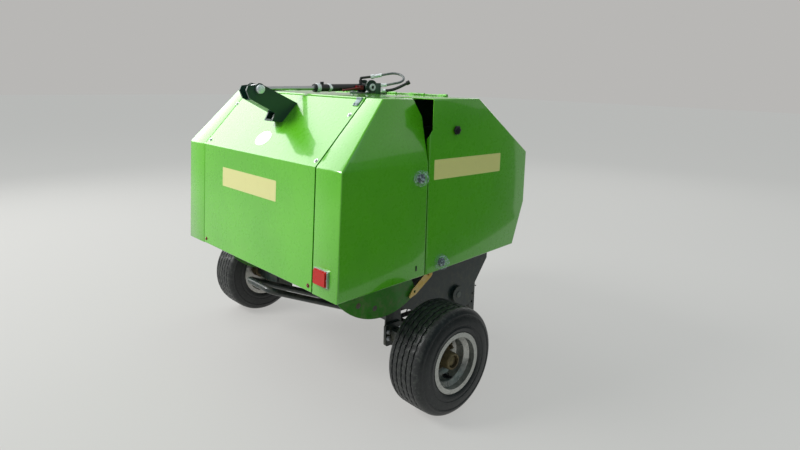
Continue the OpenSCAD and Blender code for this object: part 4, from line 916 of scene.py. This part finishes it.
bm = bmesh.new()
crimped(bm, loop[-1] - OUTWARD * 21 - UP * 1.5, loop[-1] + OUTWARD * 6 + UP, 5.2)
crimped(bm, SUPPLY_START - OUTWARD * 19, SUPPLY_START + OUTWARD * 2, 6.5)
for x in (-LUG_BOLT_X, LUG_BOLT_X):
    for y in LUG_BOLT_Y:
        bolt(bm, (x, y, LUG_BASE_Z), UP, 10, 5, 1.5)
finish_piece("hose_fittings", outward(bm), bright_zinc, "frame")
bm = bmesh.new()
tip = supply[-1]
along = (tip - supply[-3]).normalized()
rod(bm, tip - along * 4, tip + along * 10, 9.5)
rod(bm, tip + along * 10, tip + along * 12, 9.5, 7.5)
finish_piece("supply_cap", outward(bm), knob_black, "frame")
print("elbow, fittings, block and cap on")

# %% [markdown]
# Hoses start as single curves with a round bevel as thick as the hose, and the print gives the length of
# each. The loop joins the swinging barrel to the fixed block, so its curve is turned into a mesh.
# %% Hoses
def hose_rubber(name, colour, sheen):
    f = Finish(name)
    weave = f.noise(90.0, 5.0, 0.6)
    f.set(Base_Color=f.blend(f.step(weave, 0.35, 0.7), colour, sheen),
          Roughness=f.scaled(weave, 0.2, 0.36))
    f.bump(f.noise(500.0, 3.0), 0.2, 0.0005)
    return f.mat


def tube_length(line):
    return sum((b - a).length for a, b in zip(line, line[1:])) / 1000


def hose(name, line, radius, finish, bends=False):
    data = bpy.data.curves.new(name, "CURVE")
    data.dimensions = "3D"
    data.bevel_depth = radius / 1000
    data.bevel_resolution = 5
    data.use_fill_caps = True
    spline = data.splines.new("POLY")
    spline.points.add(len(line) - 1)
    for point, place in zip(spline.points, line):
        point.co = (*at(*place), 1)
    data.materials.append(finish)
    piece = bpy.data.objects.new(name, data)
    bpy.context.scene.collection.objects.link(piece)
    if bends:
        mesh = bpy.data.meshes.new_from_object(piece)
        bpy.data.objects.remove(piece)
        mesh.shade_smooth()
        mesh.set_sharp_from_angle(angle=math.radians(40))
        piece = bpy.data.objects.new(name, mesh)
        bpy.context.scene.collection.objects.link(piece)
    return piece


# The loop hose is black rubber like the supply hose: its grey colour and paler weave are painted sheen.
sheen_grey_loop_hose = hose_rubber("grey hose cover", rgb(96, 98, 98), rgb(128, 130, 128))
black_hose = hose_rubber("black hose cover", rgb(24, 26, 28), rgb(40, 42, 44))
loop_hose = hose("loop_hose", loop, 5.25, sheen_grey_loop_hose, bends=True)
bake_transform(loop_hose)
supply_hose = hose("supply_hose", supply, 6.5, black_hose)
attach(supply_hose, "frame")
print("hoses", round(tube_length(loop), 3), "and", round(tube_length(supply), 3), "m")

# %% [markdown]
# ## Wheels
# Ribbed implement tyres are mounted on deep silver rims. The ribs' edges carry short nicks, which
# give grip on wet grass. The tyre is one profile spun round the axle: five grooves in the tread, and
# on each side a wall of points that say how far out and how far below the tread they lie. After
# spinning, the rib edges at every fourth step are pushed in a little, and those are the nicks.
# %% Tyres
WHEEL_X, HALF_W, RIB, SPIN_STEPS = 679, 86, 24, 144
GROOVE = ((-3.4, 0), (-2.2, 2.2), (-1.6, 6.5), (1.6, 6.5), (2.2, 2.2), (3.4, 0))
WALL = ((61, 2.4), (68, 5.6), (74, 11), (79, 19), (80.5, 23), (82.6, 24.5), (83.2, 30), (81.8, 31.5),
        (84.6, 42), (86, 54), (86, 62), (84.4, 64), (84.6, 72), (86.2, 74), (85, 82), (82, 88),
        (77.7, 91.5), (77.6, 105))
CROWN_DROP = (0.3, 0.3, 1.0)
NICK_IN, NICK_DOWN, NICK_EVERY, NICKED_HALF = 2.6, 2.4, 4, 53


def tyre_profile():
    """Points (x, radius) from the left bead over the tread to the right bead."""
    crown = []
    for k in (-2, -1, 0, 1, 2):
        top = TYRE_R - CROWN_DROP[abs(k)]
        crown += [(k * RIB + x, top - deep) for x, deep in GROOVE]
    wall = [(x, TYRE_R - drop) for x, drop in WALL]
    return [(-x, r) for x, r in reversed(wall)] + crown + wall


def tyre():
    bm = bmesh.new()
    verts = [bm.verts.new((WHEEL_X + max(-HALF_W, min(HALF_W, x)), 0, r)) for x, r in tyre_profile()]
    edges = [bm.edges.new(pair) for pair in zip(verts, verts[1:])]
    bmesh.ops.spin(bm, geom=verts + edges, cent=(0, 0, 0), axis=(1, 0, 0), angle=2 * math.pi,
                   steps=SPIN_STEPS, use_merge=True)
    for vert in bm.verts:
        x, radius = vert.co.x - WHEEL_X, math.hypot(vert.co.y, vert.co.z)
        step = round(math.atan2(vert.co.y, vert.co.z) / (2 * math.pi) * SPIN_STEPS)
        to_groove = (x + RIB / 2) % RIB - RIB / 2
        on_edge = radius > TYRE_R - 4 and abs(x) < NICKED_HALF and abs(to_groove) > 3
        if on_edge and (step + int(x > 0)) % NICK_EVERY == 0:
            vert.co.x += NICK_IN * math.copysign(1, to_groove)
            vert.co.y *= 1 - NICK_DOWN / radius
            vert.co.z *= 1 - NICK_DOWN / radius
    bmesh.ops.translate(bm, vec=(0, 0, TYRE_R), verts=bm.verts)
    bmesh.ops.recalc_face_normals(bm, faces=bm.faces)
    widest = max(bm.faces, key=lambda f: f.calc_center_median().x)
    if widest.normal.x < 0:
        bmesh.ops.reverse_faces(bm, faces=bm.faces)
    return bm


for side in ("right", "left"):
    piece = finish_piece("tread_tyre_" + side, tyre(), rubber, "wheel_" + side, flip=side == "left")
    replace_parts(piece, "tyre_" + side)
print("tyres:", len(piece.data.polygons), "faces each")

# %% [markdown]
# Five nuts on their studs hold each rim on its hub, a short rubber valve stands in the rim's dish, and
# a domed cap closes the hub.
# %% Wheel nuts, valves and caps
DISC_X, NUT_RING, HUB_END = WHEEL_X - 6, 61, WHEEL_X + 66
VALVE_FOOT, VALVE_TIP = Vector((WHEEL_X + 16, 14, TYRE_R - 80)), Vector((WHEEL_X + 52, 12, TYRE_R - 72))
VALVE_L = (VALVE_TIP - VALVE_FOOT).length
VALVE_LINE = [(-3, 9), (2, 9), (6, 6.4), (24, 4.8), (25, 3.6), (27, 4.2), (VALVE_L - 1, 4.2),
              (VALVE_L, 3.2), (VALVE_L, 0.5)]
CAP_LINE = [(0, 23), (3, 23), (6, 21.5), (9, 17), (11, 9), (12, 0.5)]

for side in ("right", "left"):
    left = side == "left"
    bm = bmesh.new()
    for k in range(5):
        turn = math.radians(72 * k)
        base = Vector((DISC_X, math.sin(turn) * NUT_RING, TYRE_R + math.cos(turn) * NUT_RING))
        bolt(bm, base, (1, 0, 0), 15, 9, 2)
        rod(bm, base + Vector((10, 0, 0)), base + Vector((17, 0, 0)), 4.6, 4.0, 12)
    finish_piece("wheel_nuts_" + side, outward(bm), rusty_hub, "wheel_" + side, flip=left)
    bm = bmesh.new()
    turned(bm, VALVE_FOOT, (VALVE_TIP - VALVE_FOOT).normalized(), VALVE_LINE, 20)
    finish_piece("tyre_valve_" + side, outward(bm), knob_black, "wheel_" + side, flip=left)
    bm = bmesh.new()
    turned(bm, (HUB_END - 17, 0, TYRE_R), (1, 0, 0), CAP_LINE, 36)
    finish_piece("hub_cap_" + side, outward(bm), rusty_hub, "wheel_" + side, flip=left)
print("nuts, valves and caps fitted")

# %% [markdown]
# ## Bolts and pins on the frame
# The chamber's rollers run in flanged bearings on both side frames: each shows the hexagon end of its
# journal and two flange bolts. In front a bearing stands outside only where the gate's wall leaves
# room, and the gate's lower rollers end flush, where no cover hides them. The axle plates, the gearbox
# and the hitch are bolted or pinned too.
# %% Bearing and axle bolts
CHAMBER, RING_R, BEARING_R = (-60, 600), 262, 30
FLANGE_X, JOURNAL_X, GATE_JOURNAL_X = 410, 415, 425
AXLE_PLATE_X, AXLE_BOLT_Y, AXLE_BOLT_Z = 417, 31, (222, 195)


def roller_at(degrees):
    turn = math.radians(degrees)
    return CHAMBER[0] + RING_R * math.cos(turn), CHAMBER[1] + RING_R * math.sin(turn)


front_bm, gate_bm = bmesh.new(), bmesh.new()
for degrees in range(-20, 81, 20):
    y, z = roller_at(degrees)
    if y > SEAM_FRONT + BEARING_R:
        bolt(front_bm, (JOURNAL_X, y, z), (1, 0, 0), 16, 7, 0.6)
        for lean in (-1, 1):
            bolt(front_bm, (FLANGE_X, y + lean * 25, z - lean * 2), (1, 0, 0), 7, 3.2, 0.6)
for degrees in range(100, 261, 20):
    y, z = roller_at(degrees)
    if z > REAR_LOW[1] + BEARING_R:
        bolt(gate_bm, (GATE_JOURNAL_X, y, z), (1, 0, 0), 16, 7, 0.6)
for z in AXLE_BOLT_Z:
    for y in (-AXLE_BOLT_Y, AXLE_BOLT_Y):
        bolt(front_bm, (AXLE_PLATE_X, y, z), (1, 0, 0), 12, 6, 1.5)
for side in ("right", "left"):
    for name, bm, body in (("frame_bolts_", front_bm, "frame"), ("gate_bolts_", gate_bm, "gate")):
        finish_piece(name + side, outward(bm.copy()), white_zinc, body, flip=side == "left")
front_bm.free()
gate_bm.free()
print("bearing and axle bolts on")

# %% [markdown]
# The gearbox has a bolted flange at the front and one on each side, and its cross shaft leaves on the
# left. A linch pin with a spring ring locks each lower hitch pin. The pin of each parking leg has a
# head at both ends, and a ring hangs from one of them.
# %% Gearbox bolts, linch pins and rings
SHAFT_Z, FRONT_FLANGE_Y, FRONT_BOLT_R = 640, 654, 46
SIDE_FLANGE_X, SIDE_BOLT_R, CROSS_SHAFT = 84, 40, (544, 658)
HITCH_PIN, LEG_PIN = (380.5, 742, 482), (240, 686, 500)


def ring(bm, middle, axis, radius, wire):
    """A closed ring of wire round an axis."""
    corners = [math.radians(45 * k) for k in range(9)]
    outline = [(wire * math.sin(c), radius + wire * math.cos(c)) for c in corners]
    turned(bm, middle, axis, outline, 24)


bm = bmesh.new()
for k in range(6):
    turn = math.radians(60 * k + 30)
    across, rise = math.cos(turn), math.sin(turn)
    bolt(bm, (FRONT_BOLT_R * across, FRONT_FLANGE_Y, SHAFT_Z + FRONT_BOLT_R * rise), (0, 1, 0), 10, 5, 1)
    y, z = CROSS_SHAFT[0] + SIDE_BOLT_R * across, CROSS_SHAFT[1] + SIDE_BOLT_R * rise
    for out in (1, -1):
        bolt(bm, (out * SIDE_FLANGE_X, y, z), (out, 0, 0), 10, 5, 1)
finish_piece("gearbox_bolts", outward(bm), white_zinc, "frame")
bm = bmesh.new()
for out in (-1, 1):
    foot = Vector((out * HITCH_PIN[0], HITCH_PIN[1], HITCH_PIN[2]))
    rod(bm, foot, foot + UP * 34, 3.1)
    rod(bm, foot + UP * 31, foot + UP * 37, 6, 5)
    ring(bm, foot + Vector((out * 11, 0, 24)), (0, 1, 0), 17, 1.7)
for x in (-LEG_PIN[0], LEG_PIN[0]):
    y, z = LEG_PIN[1:]
    for out in (-1, 1):
        rod(bm, (x + out * 37, y, z), (x + out * 41, y, z), 8.5)
    ring(bm, (x + 39, y, z - 12), (1, 0, 0), 13, 1.6)
finish_piece("linch_pins", outward(bm), zinc, "frame")
print("pins and gearbox bolts on")

# %% [markdown]
# The cylinder's gland nut and one pipe clamp are bright against the black barrel. Both are turned round
# the barrel's own line, which runs from the lug's pin to the gate arm's pin. On the drive shaft's end,
# six thin dark strips lie where the grooves between its splines are: painted shade, because the grooves
# are not cut.
# %% Gland nut, clamp and splines
LUG_PIN, ARM_PIN = Vector((0, 189, 1202)), Vector((0, -389, 1193))
BACKWARD = (ARM_PIN - LUG_PIN).normalized()
GLAND_LINE = [(270, 17), (270, 18.4), (271.2, 19.2), (288, 19.2), (289.2, 18.4), (289.2, 17)]
CLAMP_LINE = [(214, 15.6), (214, 17.6), (226, 17.6), (226, 15.6)]
GROOVE_SIZE, GROOVE_Y, GROOVE_R = (6, 68, 0.5), 754, 17.3

bm = bmesh.new()
turned(bm, LUG_PIN, BACKWARD, GLAND_LINE)
turned(bm, LUG_PIN, BACKWARD, CLAMP_LINE)
ear_low = LUG_PIN + BACKWARD * 225 + Vector((16, 0, -5))
ear_high = LUG_PIN + BACKWARD * 215 + Vector((25, 0, 5))
block(bm, ear_low, ear_high, 0.8)
bolt(bm, LUG_PIN + BACKWARD * 220 + Vector((20.5, 0, 5)), UP, 6, 3, 0.6)
finish_piece("gland_nut", outward(bm), bright_zinc, "barrel")
# Thin dark strips on the shaft's surface: painted shade for the grooves between the splines.
bm = bmesh.new()
for k in range(6):
    round_shaft = Matrix.Translation((0, 0, SHAFT_Z)) @ Matrix.Rotation(math.radians(60 * k), 4, "Y")
    seat = round_shaft @ Matrix.Translation((0, GROOVE_Y, GROOVE_R))
    made = bmesh.ops.create_cube(bm, size=1)["verts"]
    bmesh.ops.transform(bm, verts=made, matrix=seat @ Matrix.Diagonal((*GROOVE_SIZE, 1)))
finish_piece("spline_grooves", outward(bm), chain_steel, "drive")
print("gland nut, clamp and splines")

# %% [markdown]
# ## Chains
# Two roller chains drive the chamber and the pickup on the left. The CAD solid has their loops as
# plain bands; here each gets its pins and link plates, one per pitch, laid along the same loop of two
# arcs and two straight runs. Inner and outer plates take turns, and the loop's length is rounded to an
# even number of links. The first chain runs from the gearbox's cross shaft to a roller, and the second
# gives the roller's turning on to the pickup.
# %% Chain links
PITCH, ARC_STEPS, PIN_R, PIN_LIFT = 15.875, 32, 2.6, 4.5
PLATE_T, PLATE_H, PLATE_END, INNER_OUT, OUTER_OUT = 1.1, 9.4, 7, 0.6, 1.9
PICKUP_SHAFT, CROSS_R, TAKE_R, GIVE_R, PICKUP_R = (394, 286), 38, 66, 34, 56.3
FIRST_X, SECOND_X = (-440, -432), (-456, -448)


def arc(middle, radius, start, sweep):
    turns = [start + sweep * k / ARC_STEPS for k in range(ARC_STEPS + 1)]
    return [middle + radius * Vector((math.cos(turn), math.sin(turn))) for turn in turns]


def chain_line(a, ra, b, rb):
    """Evenly spaced points round two wheels, in the YZ plane."""
    a, b = Vector(a), Vector(b)
    head = math.atan2((b - a).y, (b - a).x)
    lean = math.acos((ra - rb) / (b - a).length)
    path = arc(a, ra, head + lean, 2 * math.pi - 2 * lean) + arc(b, rb, head - lean, 2 * lean)
    path.append(path[0])
    lengths = [(q - p).length for p, q in zip(path, path[1:])]
    count = 2 * round(sum(lengths) / PITCH / 2)
    step, places, reach, i = sum(lengths) / count, [], 0.0, 0
    for k in range(count):
        while reach + lengths[i] < k * step:
            reach += lengths[i]
            i += 1
        places.append(path[i].lerp(path[i + 1], (k * step - reach) / lengths[i]))
    return places


def chain_links(bm, x0, x1, places):
    for k, (p, q) in enumerate(zip(places, places[1:] + places[:1])):
        rod(bm, (x0 - PIN_R, p.x, p.y), (x1 + PIN_R, p.x, p.y), PIN_R, sides=10)
        out = INNER_OUT if k % 2 else OUTER_OUT
        middle = (p + q) / 2
        turn = Matrix.Rotation(math.atan2((q - p).y, (q - p).x), 4, "X")
        size = Matrix.Diagonal((PLATE_T, (q - p).length + PLATE_END, PLATE_H, 1))
        for x in (x0 - out, x1 + out):
            made = bmesh.ops.create_cube(bm, size=1)["verts"]
            bmesh.ops.transform(bm, verts=made, matrix=Matrix.Translation((x, *middle)) @ turn @ size)


first = chain_line(CROSS_SHAFT, CROSS_R + PIN_LIFT, roller_at(0), TAKE_R + PIN_LIFT)
second = chain_line(roller_at(0), GIVE_R + PIN_LIFT, PICKUP_SHAFT, PICKUP_R + PIN_LIFT)
bm = bmesh.new()
chain_links(bm, *FIRST_X, first)
chain_links(bm, *SECOND_X, second)
links = finish_piece("chain_links", outward(bm), chain_steel, "frame")
print("chain links:", len(links.data.polygons), "faces")

# %% [markdown]
# ## Knobs
# Black hand knobs fix the covers. Each is turned with a domed face, and then its rim is drawn in
# between six lobes, which give fingers a hold. The left side's knobs are the right side's, mirrored.
# %% Hand knobs
KNOB_R, LOBES, LOBE_DEPTH = 18.5, 6, 0.075
KNOB_LINE = ((-1, 0.6), (3, 0.6), (4.5, 0.94), (6.5, 1), (10, 1), (12.4, 0.92), (13.6, 0.7), (14, 0.4))
UPPER_GATE, UPPER_FRONT, LOWER_FRONT = (-36, 883), (154, 1054), (92, 537)


def merge_into(bm, other):
    """Add another bmesh to this one, and free it."""
    mesh = bpy.data.meshes.new("merged")
    other.to_mesh(mesh)
    other.free()
    bm.from_mesh(mesh)
    bpy.data.meshes.remove(mesh)


def hand_knob(y, z):
    knob = bmesh.new()
    outline = [(x, KNOB_R * r) for x, r in KNOB_LINE] + [(KNOB_LINE[-1][0], 0.1)]
    turned(knob, (COVER_X, y, z), (1, 0, 0), outline, 48)
    for vert in knob.verts:
        across, rise = vert.co.y - y, vert.co.z - z
        if math.hypot(across, rise) > 0.8 * KNOB_R:
            lobe = 1 - LOBE_DEPTH * (1 - math.cos(LOBES * math.atan2(rise, across)))
            vert.co.y, vert.co.z = y + across * lobe, z + rise * lobe
    return knob


for name, places, body in (("front_hand_knobs", (UPPER_FRONT, LOWER_FRONT), "frame"),
                           ("gate_hand_knobs", (UPPER_GATE,), "gate")):
    bm = bmesh.new()
    for y, z in places:
        merge_into(bm, hand_knob(y, z))
    mirrored = bm.copy()
    bmesh.ops.scale(mirrored, vec=(-1, 1, 1), verts=mirrored.verts)
    merge_into(bm, mirrored)
    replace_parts(finish_piece(name, outward(bm), knob_black, body), name.replace("hand_", ""))
print("six hand knobs")

# %% [markdown]
# ## Wrapping film
# Two of the black knobs still wear the clear film that they were delivered in. It is a thin crumpled cap:
# a fine sphere, cut open at the cover, pressed to the size of a crumpled bag and pushed about by noise.
# %% Film on two knobs
WRAP_SIZE, CRUMPLE, FINE_CRUMPLE = (37, 34, 31), 0.13, 0.6


def clear_film(name):
    f = Finish(name)
    crease = f.noise(120.0, 4.0, 0.7)
    f.set(Base_Color=rgb(226, 236, 240), Roughness=0.16,
          Alpha=f.scaled(f.step(crease, 0.50, 0.64), 0.6, 0.12))
    f.bump(crease, 0.5, 0.003)
    return f.mat


crinkled = clear_film("clear film")
for name, (y, z), body, knobs in (("film_upper", UPPER_GATE, "gate", "gate_knobs"),
                                  ("film_lower", LOWER_FRONT, "frame", "front_knobs")):
    bm = bmesh.new()
    bmesh.ops.create_icosphere(bm, subdivisions=4, radius=1)
    bmesh.ops.bisect_plane(bm, geom=bm.verts[:] + bm.edges[:] + bm.faces[:], plane_co=(0.02, 0, 0),
                           plane_no=(1, 0, 0), clear_inner=True)
    for vert in bm.verts:
        rough = noise.noise(vert.co * 2.1 + Vector((y, 0, 0)))
        rough += FINE_CRUMPLE * noise.noise(vert.co * 5.5)
        vert.co = vert.co * Vector(WRAP_SIZE) * (1 + CRUMPLE * rough)
    bmesh.ops.translate(bm, vec=(COVER_X, y, z), verts=bm.verts)
    wrap = finish_piece(name, bm, crinkled, body, sharp=60)

# %% [markdown]
# The pins at both ends of the cylinder have bright turned heads. The arm's is a bolt head with a domed
# end, and the lug's pin is bored for grease: a bright ring, closed inside by a thin black disc that is
# painted shade for the depth of the bore.
# %% Pin heads
ARM_HEAD = [(33.3, 17.4), (42.6, 17.4), (44.4, 15.6), (45.4, 11), (45.8, 0.2)]
LUG_HEAD = [(30.4, 16.6), (36.4, 16.6), (37.6, 15.2), (37.6, 8.2), (36.2, 7.2)]

arm_heads, lug_heads, bore_shade_discs = bmesh.new(), bmesh.new(), bmesh.new()
for out in (-1, 1):
    axis = Vector((out, 0, 0))
    turned(arm_heads, ARM_PIN, axis, ARM_HEAD)
    turned(lug_heads, LUG_PIN, axis, LUG_HEAD)
    rod(bore_shade_discs, LUG_PIN + axis * 35.8, LUG_PIN + axis * 36.4, 7.4)
finish_piece("arm_pin_heads", outward(arm_heads), bright_zinc, "gate")
finish_piece("lug_pin_heads", outward(lug_heads), bright_zinc, "frame")
# The thin black disc in the ring is painted shade for the bore's depth.
finish_piece("lug_pin_bores", outward(bore_shade_discs), knob_black, "frame")
print("pin heads on")
